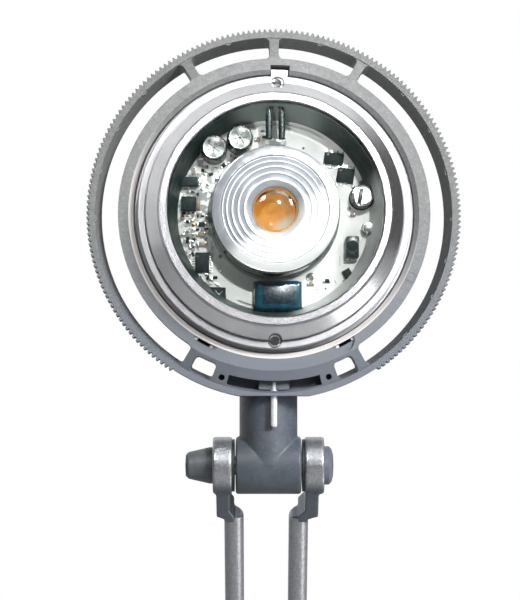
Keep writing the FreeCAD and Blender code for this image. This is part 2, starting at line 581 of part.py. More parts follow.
def can(x, y, r, top):
    c = cyl(r, top - BT, (x, y, BT))
    return fillet_at(c, 0.5, lambda e: hasattr(e.Curve, "Radius") and abs(e.Curve.Center.z - top) < 0.01)


def chip(x, y, w, h, top, deg=0.0):
    b = box(-w / 2, w / 2, -h / 2, h / 2, BT, top)
    return b.transformed(place(V(x, y, 0), Z, deg).toMatrix(), True)


# tapered wall round the board, relieved where parts stand close to it
wall = lathe([(33.6, -3.95), (33.6, 12.05), (32.3, 12.05), (32.2, 11.0), (29.6, -3.4), (29.6, -3.95)])
for x, y, r, top in ((27.0, 5.4, 4.05, 3.3), (-18.5, 19.6, 4.2, 6.3), (-10.6, 22.6, 4.2, 6.3), (29.0, -4.0, 2.25, 0.8)):
    wall = wall.cut(cyl(r, top + 5, (x, y, -5)))
for x, y, w, h, top, deg in ((1.2, -25.3, 15.4, 10.0, 1.9, 0), (-26.0, 10.2, 5.4, 3.2, -0.3, 0), (22.9, -18.4, 2.8, 4.0, -1.7, 30),
                             (-22.0, -14.7, 4.8, 6.8, -2.6, 0), (24.0, -10.2, 4.3, 7.0, 1.3, 0), (-26.2, 3.3, 5.0, 4.7, -0.3, 0)):
    b = box(-w / 2, w / 2, -h / 2, h / 2, -5, top).transformed(place(V(0, 0, 0), Z, deg).toMatrix(), True)
    wall = wall.cut(b.transformed(place(V(x, y, 0)).toMatrix(), True))
save("spacer_ring", max(wall.Solids, key=lambda q: q.Volume), DISC)

save("capacitors", [can(-18.5, 19.6, 4.0, 6.0), can(-10.6, 22.6, 4.0, 6.0)], DISC)
save("round_choke", can(27.0, 5.4, 3.85, 3.0), DISC)
save("power_choke", fillet_at(chip(1.2, -25.3, 15.0, 9.6, 1.6), 1.6,
                              lambda e: abs(abs((e.Vertexes[0].Point - e.Vertexes[-1].Point).z) - (1.6 - BT)) < 0.01), DISC)
save("control_chips", [chip(18.6, 17.6, 6.2, 3.7, -2.5, -8), chip(22.2, 12.4, 5.4, 4.7, -2.5, -8), chip(-22.0, -14.7, 4.4, 6.4, -2.9)], DISC)
save("power_parts", [chip(24.0, -10.2, 3.9, 6.6, 1.0), chip(-26.2, 3.3, 4.6, 4.3, -0.6), chip(-26.0, 10.2, 5.0, 2.8, -0.6),
                     chip(22.9, -18.4, 2.4, 3.6, -2.0, 30)], DISC)
save("metal_can", [can(29.0, -4.0, 2.0, 0.5)], DISC)
save("small_parts", [chip(-5.0, 23.6, 2.0, 1.25, -3.3), chip(-22.2, -2.9, 3.2, 1.6, -3.2), chip(-22.4, -6.0, 3.2, 1.6, -3.2),
                     chip(-22.0, -9.1, 3.2, 1.6, -3.2), chip(-26.6, -2.0, 1.6, 0.9, -3.3), chip(-26.6, -5.1, 1.6, 0.9, -3.3),
                     chip(-26.6, -8.2, 1.6, 0.9, -3.3), chip(16.4, -20.2, 2.0, 1.25, -3.3), chip(11.4, -21.2, 2.0, 1.25, -3.3),
                     chip(-15.5, 15.4, 2.0, 1.25, -3.3, 45), chip(24.2, 0.2, 2.0, 1.25, -3.3)], DISC)
leads = []
for x in (-1.9, 2.0):
    leads.append(cyl(1.05, 9.4, (x, 21.4, 9.2), (0, 1, 0)))
save("lead_wires", leads, DISC)

clips = []
for a in (238.2, 244.8, 295.2, 301.8):
    c = box(-0.45, 0.45, -0.42, 0.42, -4.4, 2.0)
    c = c.transformed(place(V(0, 0, 0), Z, 90 + a).toMatrix(), True)
    p = polar(45.1, a)
    clips.append(c.transformed(place(V(p.x, p.y, 0)).toMatrix(), True))
save("bayonet_clips", clips, DISC)

# ===========================================================================
# Switch: lever pin with slider in the ring's pocket, contact block behind
# ===========================================================================
slider = sector(49.5, 53.8, 265.0, 275.0, -5.7, -1.7)
slider = slider.cut(cyl(LEVER_R + 0.02, 10, (0, -60, LEVER_H), (0, 1, 0)).common(box(-5, 5, -60, -51.4, -10, 0)))
save("switch_slider", slider, DISC)
pin = cyl(LEVER_R, LEVER_OUT - LEVER_IN, (0, -LEVER_OUT, LEVER_H), (0, 1, 0))
pin = fillet_at(pin, 0.75, lambda e: hasattr(e.Curve, "Radius") and abs(e.Curve.Center.y + LEVER_OUT) < 0.01)
save("switch_pin", pin, DISC)
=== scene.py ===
import math
import random

import bmesh
import bpy
from mathutils import Matrix, Vector


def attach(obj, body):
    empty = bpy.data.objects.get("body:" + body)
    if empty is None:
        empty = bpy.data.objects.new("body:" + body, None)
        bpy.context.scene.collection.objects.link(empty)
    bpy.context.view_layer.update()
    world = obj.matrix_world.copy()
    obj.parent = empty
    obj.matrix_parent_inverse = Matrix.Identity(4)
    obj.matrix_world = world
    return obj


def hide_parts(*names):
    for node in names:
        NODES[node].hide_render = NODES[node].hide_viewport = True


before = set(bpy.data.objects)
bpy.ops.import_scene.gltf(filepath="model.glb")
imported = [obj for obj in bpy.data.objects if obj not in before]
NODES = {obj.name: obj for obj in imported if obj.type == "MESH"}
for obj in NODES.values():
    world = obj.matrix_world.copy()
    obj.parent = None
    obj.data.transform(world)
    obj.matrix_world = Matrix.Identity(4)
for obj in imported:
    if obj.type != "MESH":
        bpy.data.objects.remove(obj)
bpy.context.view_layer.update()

# ---------------------------------------------------------------------------
# Frames. The head's own frame, here "disc": X right, Y up, Z = height towards
# the viewer from the front plane of the toothed ring. Millimetres.
# ---------------------------------------------------------------------------
S = Vector((0, 0, 66.0))
E = S + Vector((0, math.sin(math.radians(25)), math.cos(math.radians(25)))) * 320.0
H = E + Vector((0, -math.sin(math.radians(32)), math.cos(math.radians(32)))) * 300.0


def frame_at(pos, axis="X", deg=0.0):
    return Matrix.Translation(Vector(pos)) @ Matrix.Rotation(math.radians(deg), 4, axis)


NECK = frame_at(H, "X", -4.5)
HEAD = NECK @ Matrix.Rotation(math.radians(1.6), 4, "Z")
DISC = HEAD @ frame_at((1.35, -13.5, 76.85), "X", 90)
UPPER = frame_at(H, "X", 32.0)
MM = Matrix.Scale(0.001, 4)
TO_M = MM @ DISC


# ---------------------------------------------------------------------------
# Camera: level, straight on, long lens
# ---------------------------------------------------------------------------
cam_data = bpy.data.cameras.new("camera")
cam_data.sensor_width = 36.0
cam_data.lens = 117.46
cam_data.clip_start = 0.02
cam_data.clip_end = 60.0
cam = bpy.data.objects.new("camera", cam_data)
cam.location = (-0.002611, -0.631158, 0.661733)
cam.rotation_euler = (math.radians(90), 0, 0)
bpy.context.scene.collection.objects.link(cam)
bpy.context.scene.camera = cam
bpy.context.scene.view_settings.view_transform = "Standard"
bpy.context.scene.view_settings.look = "None"


# ---------------------------------------------------------------------------
# Material helpers
# ---------------------------------------------------------------------------
def new_mat(name):
    m = bpy.data.materials.new(name)
    m.use_nodes = True
    nt = m.node_tree
    nt.nodes.clear()
    out = nt.nodes.new("ShaderNodeOutputMaterial")
    return m, nt, out


def node(nt, kind, **props):
    n = nt.nodes.new(kind)
    for k, v in props.items():
        setattr(n, k, v)
    return n


def coords(nt, obj=None):
    t = node(nt, "ShaderNodeTexCoord")
    if obj is not None:
        t.object = obj
    return t.outputs["Object"]


def noise(nt, vec, scale, detail=3.0, rough=0.5, dims="3D"):
    n = node(nt, "ShaderNodeTexNoise", noise_dimensions=dims)
    n.inputs["Scale"].default_value = scale
    n.inputs["Detail"].default_value = detail
    n.inputs["Roughness"].default_value = rough
    nt.links.new(vec, n.inputs["Vector"])
    return n.outputs["Fac"]


def voronoi(nt, vec, scale, feature="F1", out="Distance"):
    n = node(nt, "ShaderNodeTexVoronoi", feature=feature)
    n.inputs["Scale"].default_value = scale
    nt.links.new(vec, n.inputs["Vector"])
    return n.outputs[out]


def remap(nt, fac, a, b, lo, hi, smooth=False):
    n = node(nt, "ShaderNodeMapRange")
    n.interpolation_type = "SMOOTHSTEP" if smooth else "LINEAR"
    n.inputs["From Min"].default_value = a
    n.inputs["From Max"].default_value = b
    n.inputs["To Min"].default_value = lo
    n.inputs["To Max"].default_value = hi
    nt.links.new(fac, n.inputs["Value"])
    return n.outputs["Result"]


def math_node(nt, op, a, b=None):
    n = node(nt, "ShaderNodeMath", operation=op)
    for i, v in enumerate((a, b)):
        if v is None:
            continue
        if isinstance(v, (int, float)):
            n.inputs[i].default_value = v
        else:
            nt.links.new(v, n.inputs[i])
    return n.outputs[0]


def mix_col(nt, fac, a, b):
    n = node(nt, "ShaderNodeMix", data_type="RGBA")
    if isinstance(fac, (int, float)):
        n.inputs[0].default_value = fac
    else:
        nt.links.new(fac, n.inputs[0])
    for i, v in ((6, a), (7, b)):
        if isinstance(v, tuple):
            n.inputs[i].default_value = (*v, 1.0)
        else:
            nt.links.new(v, n.inputs[i])
    return n.outputs[2]


def bump(nt, height, strength, dist, below=None):
    n = node(nt, "ShaderNodeBump")
    n.inputs["Strength"].default_value = strength
    n.inputs["Distance"].default_value = dist
    nt.links.new(height, n.inputs["Height"])
    if below is not None:
        nt.links.new(below, n.inputs["Normal"])
    return n.outputs["Normal"]


def surface(name, base, dark, rough=(0.4, 0.55), metal=0.0, tone=400.0, tone_lo=0.35, tone_hi=0.65,
            grain=3000.0, grain_h=0.1, grain_d=0.00005, wave=None, spec=0.5, coat=0.0, coat_rough=0.2,
            speckle=None, stretch=None, rust=None, painted_shade=None):
    """Colour drifts between base and dark, roughness drifts, fine grain and optional long waviness as bump."""
    m, nt, out = new_mat(name)
    p = node(nt, "ShaderNodeBsdfPrincipled")
    nt.links.new(p.outputs[0], out.inputs["Surface"])
    vec = coords(nt)
    if stretch is not None:
        mp = node(nt, "ShaderNodeMapping")
        mp.inputs["Scale"].default_value = stretch
        nt.links.new(vec, mp.inputs["Vector"])
        gvec = mp.outputs[0]
    else:
        gvec = vec
    drift = noise(nt, vec, tone, 4.0, 0.6)
    col = mix_col(nt, remap(nt, drift, tone_lo, tone_hi, 0.0, 1.0, True), base, dark)
    if speckle is not None:
        s_col, s_scale, s_amount = speckle
        s = voronoi(nt, vec, s_scale, out="Color")
        sep = node(nt, "ShaderNodeSeparateColor")
        nt.links.new(s, sep.inputs[0])
        col = mix_col(nt, remap(nt, sep.outputs[0], 1.0 - s_amount, 1.0, 0.0, 1.0), col, s_col)
    if rust is not None:
        r_col, r_scale, r_lo = rust
        col = mix_col(nt, remap(nt, noise(nt, vec, r_scale, 6.0, 0.7), r_lo, r_lo + 0.12, 0.0, 1.0, True), col, r_col)
    if painted_shade is not None:
        # painted shade: a second colour along one axis of an empty, for the side that falls in shade: (empty, axis,
        # from, to, colour, amount)
        f_obj, f_axis, f_a, f_b, shade_col, f_amt = painted_shade[:6]
        fs = node(nt, "ShaderNodeSeparateXYZ")
        nt.links.new(coords(nt, f_obj), fs.inputs[0])
        shade_mask = remap(nt, fs.outputs[f_axis], f_a, f_b, 0.0, f_amt, True)
        if len(painted_shade) == 8:
            shade_mask = math_node(nt, "MULTIPLY", shade_mask, remap(nt, fs.outputs[f_axis], painted_shade[6], painted_shade[7], 1.0, 0.0))
        col = mix_col(nt, shade_mask, col, shade_col)
    nt.links.new(col, p.inputs["Base Color"])
    nt.links.new(remap(nt, noise(nt, gvec, tone * 2.3, 3.0), 0.3, 0.7, rough[0], rough[1]), p.inputs["Roughness"])
    p.inputs["Metallic"].default_value = metal
    p.inputs["Specular IOR Level"].default_value = spec
    p.inputs["Coat Weight"].default_value = coat
    p.inputs["Coat Roughness"].default_value = coat_rough
    nrm = None
    if wave is not None:
        nrm = bump(nt, noise(nt, vec, wave[0], 2.0), wave[1], wave[2])
    nrm = bump(nt, noise(nt, gvec, grain, 2.0), grain_h, grain_d, nrm)
    nt.links.new(nrm, p.inputs["Normal"])
    return m


# an empty that carries the head's own axes, so that turned finishes run round the optical axis
axes = bpy.data.objects.new("disc_axes", None)
axes.empty_display_size = 0.01
axes.matrix_world = Matrix.Translation((DISC.translation * 0.001)) @ DISC.to_3x3().to_4x4()
bpy.context.scene.collection.objects.link(axes)
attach(axes, "head")
arm_axes = bpy.data.objects.new("arm_axes", None)
arm_axes.empty_display_size = 0.01
arm_axes.matrix_world = Matrix.Translation((H * 0.001)) @ UPPER.to_3x3().to_4x4()
bpy.context.scene.collection.objects.link(arm_axes)
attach(arm_axes, "upper_arm")


def turned(name, base, dark, rough, metal=1.0, lines=60000.0, depth=0.05, dist=0.00002, spec=0.5, blotch=120.0, sparkle=0.0, coat=0.0):
    """Metal turned on a lathe: fine grooves round the optical axis."""
    m, nt, out = new_mat(name)
    p = node(nt, "ShaderNodeBsdfPrincipled")
    nt.links.new(p.outputs[0], out.inputs["Surface"])
    vec = coords(nt, axes)
    sep = node(nt, "ShaderNodeSeparateXYZ")
    nt.links.new(vec, sep.inputs[0])
    r2 = math_node(nt, "ADD", math_node(nt, "MULTIPLY", sep.outputs[0], sep.outputs[0]),
                   math_node(nt, "MULTIPLY", sep.outputs[1], sep.outputs[1]))
    r = math_node(nt, "SQRT", r2)
    comb = node(nt, "ShaderNodeCombineXYZ")
    nt.links.new(r, comb.inputs[0])
    nt.links.new(sep.outputs[2], comb.inputs[1])
    g = noise(nt, comb.outputs[0], lines, 2.0, 0.7)
    obj = coords(nt)
    drift = noise(nt, obj, blotch, 3.0, 0.6)
    col = mix_col(nt, remap(nt, drift, 0.35, 0.65, 0.0, 1.0, True), base, dark)
    nt.links.new(col, p.inputs["Base Color"])
    mixr = math_node(nt, "ADD", math_node(nt, "MULTIPLY", g, 0.6), math_node(nt, "MULTIPLY", noise(nt, obj, 5200.0, 2.0), 0.4))
    nt.links.new(remap(nt, mixr, 0.3, 0.7, rough[0], rough[1]), p.inputs["Roughness"])
    p.inputs["Metallic"].default_value = metal
    p.inputs["Specular IOR Level"].default_value = spec
    p.inputs["Coat Weight"].default_value = coat
    nrm = bump(nt, g, depth, dist)
    if sparkle > 0:
        nrm = bump(nt, noise(nt, obj, 2600.0, 3.0, 0.7), sparkle, 0.00004, nrm)
    nt.links.new(nrm, p.inputs["Normal"])
    return m


def clear(name, tint, rough=0.0, ior=1.49, streak=0.0):
    """Clear moulded plastic or glass that bends light."""
    m, nt, out = new_mat(name)
    p = node(nt, "ShaderNodeBsdfPrincipled")
    nt.links.new(p.outputs[0], out.inputs["Surface"])
    vec = coords(nt)
    p.inputs["Transmission Weight"].default_value = 1.0
    p.inputs["IOR"].default_value = ior
    drift = noise(nt, vec, 300.0, 2.0)
    nt.links.new(mix_col(nt, remap(nt, drift, 0.3, 0.7, 0.0, 1.0), tint, tuple(c * 0.985 for c in tint)), p.inputs["Base Color"])
    nt.links.new(remap(nt, noise(nt, vec, 900.0, 3.0), 0.35, 0.75, rough, rough + 0.03), p.inputs["Roughness"])
    nt.links.new(bump(nt, noise(nt, vec, 260.0, 2.0), 0.06 + streak, 0.00004), p.inputs["Normal"])
    return m


def pane(name, tint):
    """Thin flat glass: lets light through, with a mirror reflection on top."""
    m, nt, out = new_mat(name)
    tr = node(nt, "ShaderNodeBsdfTransparent")
    tr.inputs[0].default_value = (*tint, 1.0)
    gl = node(nt, "ShaderNodeBsdfGlossy")
    gl.inputs["Roughness"].default_value = 0.02
    # the same mirror share on both sides of the sheet, so that it stays clear at a slant
    lw = node(nt, "ShaderNodeLayerWeight")
    lw.inputs["Blend"].default_value = 0.5
    share = math_node(nt, "ADD", math_node(nt, "MULTIPLY", math_node(nt, "POWER", lw.outputs["Facing"], 5.0), 0.96), 0.04)
    mix = node(nt, "ShaderNodeMixShader")
    nt.links.new(share, mix.inputs[0])
    nt.links.new(tr.outputs[0], mix.inputs[1])
    nt.links.new(gl.outputs[0], mix.inputs[2])
    vec = coords(nt)
    nt.links.new(remap(nt, noise(nt, vec, 140.0, 3.0), 0.45, 0.8, 0.01, 0.08), gl.inputs["Roughness"])
    nt.links.new(mix.outputs[0], out.inputs["Surface"])
    return m


# ---------------------------------------------------------------------------
# The finishes
# ---------------------------------------------------------------------------
M = {}
# painted shade: the ring turns a darker blue-grey towards its bottom, standing in for light that falls from above
M["ring_grey"] = surface("ring_grey", (0.215, 0.221, 0.220), (0.178, 0.184, 0.186), (0.42, 0.60), tone=700.0, painted_shade=(axes, 1, 0.005, -0.050, (0.150, 0.168, 0.202), 0.9),
                         grain=4200.0, grain_h=0.35, grain_d=0.00006, wave=(260.0, 0.25, 0.0003), speckle=((0.275, 0.28, 0.28), 2600.0, 0.16))


def painted_collar_light(mat):
    """Painted light: a paler strip along the chamfer of the ring's bore, strongest at the bottom, where the chamfer
    faces up into the light.
    """
    nt = mat.node_tree
    p = [n for n in nt.nodes if n.type == "BSDF_PRINCIPLED"][0]
    old = p.inputs["Base Color"].links[0].from_socket
    sp = node(nt, "ShaderNodeSeparateXYZ")
    nt.links.new(coords(nt, axes), sp.inputs[0])
    r = math_node(nt, "SQRT", math_node(nt, "ADD", math_node(nt, "MULTIPLY", sp.outputs[0], sp.outputs[0]),
                                        math_node(nt, "MULTIPLY", sp.outputs[1], sp.outputs[1])))
    band = math_node(nt, "MULTIPLY", remap(nt, r, 0.04295, 0.0431, 0.0, 1.0), remap(nt, r, 0.0445, 0.0446, 1.0, 0.0))
    front = remap(nt, sp.outputs[2], 0.0014, 0.0017, 0.0, 1.0)
    low = remap(nt, math_node(nt, "ADD", sp.outputs[1], math_node(nt, "MULTIPLY", sp.outputs[0], 0.45)), 0.020, -0.025, 0.0, 0.95, True)
    fac = math_node(nt, "MULTIPLY", math_node(nt, "MULTIPLY", band, front), low)
    nt.links.new(mix_col(nt, fac, old, (0.74, 0.71, 0.69)), p.inputs["Base Color"])


painted_collar_light(M["ring_grey"])


def tint(mat, col, mask, obj=None):
    """Lay a second colour over a finish; mask(nt, x, y, z) gives the amount from metres along the empty's axes."""
    nt = mat.node_tree
    p = [n for n in nt.nodes if n.type == "BSDF_PRINCIPLED"][0]
    old = p.inputs["Base Color"].links[0].from_socket
    sp = node(nt, "ShaderNodeSeparateXYZ")
    nt.links.new(coords(nt, obj), sp.inputs[0])
    nt.links.new(mix_col(nt, mask(nt, *sp.outputs), old, col), p.inputs["Base Color"])


def along(nt, x, y, a, b, lo, hi):
    """0 to 1 along the direction a*x + b*y, between lo and hi."""
    v = math_node(nt, "ADD", math_node(nt, "MULTIPLY", x, a), math_node(nt, "MULTIPLY", y, b))
    return remap(nt, v, lo, hi, 0.0, 1.0, True)


def radius(nt, x, y):
    return math_node(nt, "SQRT", math_node(nt, "ADD", math_node(nt, "MULTIPLY", x, x), math_node(nt, "MULTIPLY", y, y)))


M["slate"] = surface("slate_plastic", (0.098, 0.117, 0.142), (0.078, 0.094, 0.116), (0.38, 0.52), tone=260.0,
                     grain=4200.0, grain_h=0.25, grain_d=0.00005, wave=(160.0, 0.2, 0.0003), speckle=((0.135, 0.15, 0.172), 2400.0, 0.10))
# painted shade: left of x = 1 mm the slate turns darker, for the side turned away from the key light
tint(M["slate"], (0.052, 0.068, 0.078), lambda nt, x, y, z: math_node(nt, "MULTIPLY", remap(nt, x, 0.001, -0.009, 0.0, 1.0, True), 0.6))
M["dark_plastic"] = surface("dark_plastic", (0.142, 0.157, 0.171), (0.104, 0.118, 0.130), (0.42, 0.58), tone=300.0,
                            grain=4600.0, grain_h=0.3, grain_d=0.00006)
M["cap_grey"] = surface("cap_grey", (0.152, 0.162, 0.200), (0.118, 0.128, 0.162), (0.35, 0.5), tone=400.0,
                        grain=4200.0, grain_h=0.25, grain_d=0.00005)
M["black_plastic"] = surface("black_plastic", (0.022, 0.026, 0.028), (0.012, 0.015, 0.017), (0.4, 0.6), tone=500.0,
                             grain=3600.0, grain_h=0.3, grain_d=0.00005)
M["rubber"] = surface("rubber", (0.018, 0.019, 0.020), (0.010, 0.011, 0.012), (0.65, 0.85), tone=500.0,
                      grain=2600.0, grain_h=0.5, grain_d=0.00008, spec=0.35)
M["cast"] = surface("cast_silver_paint", (0.40, 0.41, 0.43), (0.30, 0.315, 0.335), (0.24, 0.42), metal=0.78, tone=900.0,
                    grain=2300.0, grain_h=0.36, grain_d=0.00010, wave=(900.0, 0.26, 0.0003), speckle=((0.56, 0.57, 0.60), 2800.0, 0.14))
# painted shade: from just below the centre of the head-end eyes down the straps to about 18.5 mm the colour turns dark
# slate, standing in for shade
M["cast_top"] = surface("cast_silver_eye", (0.46, 0.47, 0.49), (0.37, 0.385, 0.405), (0.26, 0.42), metal=0.78, tone=900.0,
                        grain=2300.0, grain_h=0.36, grain_d=0.00010, wave=(900.0, 0.26, 0.0003), speckle=((0.56, 0.57, 0.60), 2800.0, 0.14),
                        painted_shade=(arm_axes, 2, 0.0015, -0.0045, (0.150, 0.170, 0.200), 0.95, -0.0184, -0.0189))
M["paint"] = surface("grey_powder_coat", (0.38, 0.39, 0.405), (0.33, 0.34, 0.355), (0.38, 0.5), metal=0.35, tone=60.0,
                     grain=1900.0, grain_h=0.4, grain_d=0.00012, speckle=((0.5, 0.51, 0.53), 2500.0, 0.2))
M["satin"] = turned("satin_aluminium", (0.90, 0.90, 0.915), (0.83, 0.83, 0.845), (0.16, 0.34), lines=42000.0, depth=0.12, dist=0.00003, sparkle=0.10)
tint(M["satin"], (0.50, 0.50, 0.52), lambda nt, x, y, z: remap(nt, radius(nt, x, y), 0.0352, 0.0358, 1.0, 0.0, True), axes)
M["flange"] = turned("flange_aluminium", (0.53, 0.53, 0.545), (0.47, 0.47, 0.485), (0.26, 0.46), metal=0.35, lines=30000.0, depth=0.2, dist=0.00003, sparkle=0.12)
M["raw_alu"] = surface("raw_aluminium", (0.66, 0.665, 0.67), (0.55, 0.556, 0.562), (0.3, 0.48), metal=1.0, tone=160.0,
                       grain=2400.0, grain_h=0.25, grain_d=0.00006, stretch=(1, 1, 0.1))
M["steel"] = surface("steel", (0.62, 0.62, 0.61), (0.5, 0.5, 0.49), (0.18, 0.34), metal=1.0, tone=500.0,
                     grain=3600.0, grain_h=0.12, grain_d=0.00004)
M["chrome"] = surface("chrome", (0.83, 0.84, 0.86), (0.76, 0.77, 0.79), (0.04, 0.12), metal=1.0, tone=600.0,
                      grain=2600.0, grain_h=0.04, grain_d=0.00003)
M["lever"] = surface("lever_plated", (0.90, 0.91, 0.94), (0.82, 0.83, 0.86), (0.16, 0.28), metal=0.18, tone=500.0,
                     grain=2600.0, grain_h=0.06, grain_d=0.00003, spec=0.8)
M["iron"] = surface("cast_iron", (0.10, 0.098, 0.096), (0.065, 0.064, 0.064), (0.6, 0.85), metal=0.6, tone=120.0,
                    grain=900.0, grain_h=0.6, grain_d=0.0003, rust=((0.13, 0.075, 0.045), 90.0, 0.62))
M["fr4"] = None
M["ic"] = surface("chip_body", (0.016, 0.030, 0.030), (0.009, 0.018, 0.018), (0.42, 0.58), tone=900.0, grain=5000.0, grain_h=0.2, grain_d=0.00003, spec=0.16)
M["sleeve"] = surface("cap_sleeve", (0.012, 0.026, 0.025), (0.006, 0.014, 0.014), (0.22, 0.34), tone=600.0, grain=2000.0, grain_h=0.05, grain_d=0.00002, spec=0.6)
M["can_top"] = surface("can_aluminium", (0.80, 0.82, 0.80), (0.68, 0.70, 0.685), (0.12, 0.26), metal=1.0, tone=900.0, grain=3000.0, grain_h=0.2, grain_d=0.00005)
M["blue"] = surface("choke_blue", (0.004, 0.075, 0.115), (0.002, 0.034, 0.055), (0.12, 0.22), tone=420.0, grain=1800.0, grain_h=0.15, grain_d=0.00004, spec=0.6, coat=0.5, coat_rough=0.08)
M["blue_dark"] = surface("choke_dark", (0.006, 0.022, 0.036), (0.003, 0.012, 0.020), (0.2, 0.35), tone=500.0, grain=1800.0, grain_h=0.15, grain_d=0.00004, spec=0.6)
M["tin"] = surface("tinned", (0.78, 0.78, 0.755), (0.60, 0.61, 0.59), (0.14, 0.32), metal=1.0, tone=1800.0, grain=3600.0, grain_h=0.3, grain_d=0.00005)
M["solder"] = surface("solder", (0.72, 0.74, 0.72), (0.52, 0.55, 0.53), (0.1, 0.3), metal=1.0, tone=2600.0, grain=3000.0, grain_h=0.4, grain_d=0.00006)
M["tan"] = surface("ceramic_tan", (0.33, 0.24, 0.19), (0.24, 0.17, 0.135), (0.3, 0.5), tone=1500.0, grain=4000.0, grain_h=0.3, grain_d=0.00003)
M["ink"] = surface("grey_ink", (0.10, 0.11, 0.11), (0.17, 0.18, 0.18), (0.5, 0.7), tone=1800.0, grain=4000.0, grain_h=0.2, grain_d=0.00002)
M["gold"] = surface("pad_gold", (0.62, 0.47, 0.22), (0.50, 0.37, 0.17), (0.2, 0.35), metal=1.0, tone=1800.0, grain=3600.0, grain_h=0.2, grain_d=0.00003)
M["ceramic"] = surface("ceramic_white", (0.80, 0.79, 0.76), (0.72, 0.71, 0.68), (0.4, 0.55), tone=800.0, grain=4000.0, grain_h=0.15, grain_d=0.00003)
M["bronze"] = surface("bush_nylon", (0.62, 0.61, 0.57), (0.54, 0.53, 0.50), (0.4, 0.55), tone=300.0, grain=3000.0, grain_h=0.2, grain_d=0.00004)
M["glass"] = pane("cover_glass", (0.985, 0.995, 0.990))
M["lens"] = clear("lens_clear", (0.985, 0.99, 0.992), 0.0, 1.49)
M["dome"] = clear("lens_dome", (1.0, 0.94, 0.76), 0.05, 1.49)
M["package"] = surface("package_amber", (0.88, 0.40, 0.06), (0.80, 0.32, 0.04), (0.35, 0.5), tone=800.0, grain=4000.0, grain_h=0.15, grain_d=0.00003)
M["gasket"] = clear("gasket_clear", (0.90, 0.93, 0.92), 0.10, 1.42)
M["holder"] = clear("holder_smoke", (0.62, 0.67, 0.66), 0.04, 1.46)
# painted light and shade: the clear holder is tinted near-white towards the top and stays smoky and darker below
tint(M["holder"], (0.97, 0.98, 0.98), lambda nt, x, y, z: remap(nt, y, -0.002, 0.006, 0.0, 1.0, True), axes)
M["cap_top"] = surface("capacitor_top", (0.34, 0.355, 0.345), (0.23, 0.245, 0.235), (0.26, 0.40), metal=0.9, tone=420.0, grain=3000.0, grain_h=0.06, grain_d=0.00003)
# grooved part of the lens: silvered from behind, with painted glare: white painted in towards the lower right
M["lens_ring"] = surface("lens_silver", (0.47, 0.48, 0.52), (0.39, 0.40, 0.44), (0.10, 0.20), metal=0.55, tone=260.0, grain=2200.0, grain_h=0.05, grain_d=0.00002, spec=0.7)
# painted highlight: the crest side of each groove is near-white, standing in for light caught on the ridges
M["lens_crest"] = surface("lens_crest", (0.93, 0.93, 0.95), (0.88, 0.88, 0.90), (0.10, 0.20), metal=0.10, tone=260.0, grain=2200.0, grain_h=0.05, grain_d=0.00002, spec=0.8)
tint(M["lens_ring"], (1.0, 1.0, 1.0), lambda nt, x, y, z: along(nt, x, y, 0.56, -0.83, 0.0005, 0.0055), axes)


def board_mat():
    """White solder mask over copper: faint raised tracks, small specks, slight mottling."""
    m, nt, out = new_mat("board_white")
    p = node(nt, "ShaderNodeBsdfPrincipled")
    nt.links.new(p.outputs[0], out.inputs["Surface"])
    vec = coords(nt, axes)
    base = mix_col(nt, remap(nt, noise(nt, vec, 180.0, 3.0), 0.35, 0.65, 0.0, 1.0, True), (0.93, 0.925, 0.905), (0.88, 0.875, 0.86))
    br = node(nt, "ShaderNodeTexBrick")
    br.inputs["Scale"].default_value = 330.0
    br.inputs["Mortar Size"].default_value = 0.016
    br.inputs["Color1"].default_value = (1, 1, 1, 1)
    br.inputs["Color2"].default_value = (1, 1, 1, 1)
    br.inputs["Mortar"].default_value = (0, 0, 0, 1)
    br.offset = 0.37
    mp = node(nt, "ShaderNodeMapping")
    mp.inputs["Rotation"].default_value = (0, 0, 0.35)
    nt.links.new(vec, mp.inputs["Vector"])
    nt.links.new(mp.outputs[0], br.inputs["Vector"])
    track = remap(nt, br.outputs["Color"], 0.0, 1.0, 1.0, 0.0)
    mask = remap(nt, noise(nt, vec, 95.0, 2.0), 0.52, 0.58, 0.0, 0.4, True)
    tr = math_node(nt, "MULTIPLY", track, mask)
    base = mix_col(nt, tr, base, (0.60, 0.62, 0.59))
    sp = voronoi(nt, vec, 520.0)
    spk = remap(nt, sp, 0.05, 0.09, 0.55, 0.0)
    msk = remap(nt, noise(nt, vec, 130.0, 2.0), 0.5, 0.6, 0.0, 1.0, True)
    base = mix_col(nt, math_node(nt, "MULTIPLY", spk, msk), base, (0.16, 0.19, 0.18))
    # the crowded left side: patches of bare copper and mask between the small parts
    cell = node(nt, "ShaderNodeSeparateColor")
    nt.links.new(voronoi(nt, vec, 820.0, out="Color"), cell.inputs[0])
    bx = node(nt, "ShaderNodeSeparateXYZ")
    nt.links.new(vec, bx.inputs[0])
    crowd = math_node(nt, "MULTIPLY", remap(nt, cell.outputs[0], 0.50, 0.56, 0.0, 0.8), remap(nt, bx.outputs[0], -0.0175, -0.0200, 0.0, 1.0, True))
    base = mix_col(nt, crowd, base, (0.17, 0.20, 0.19))
    nt.links.new(base, p.inputs["Base Color"])
    nt.links.new(remap(nt, noise(nt, vec, 900.0, 3.0), 0.3, 0.7, 0.24, 0.42), p.inputs["Roughness"])
    n1 = bump(nt, tr, 0.3, 0.00006)
    nt.links.new(bump(nt, noise(nt, vec, 2600.0, 2.0), 0.15, 0.00003, n1), p.inputs["Normal"])
    return m


M["fr4"] = board_mat()


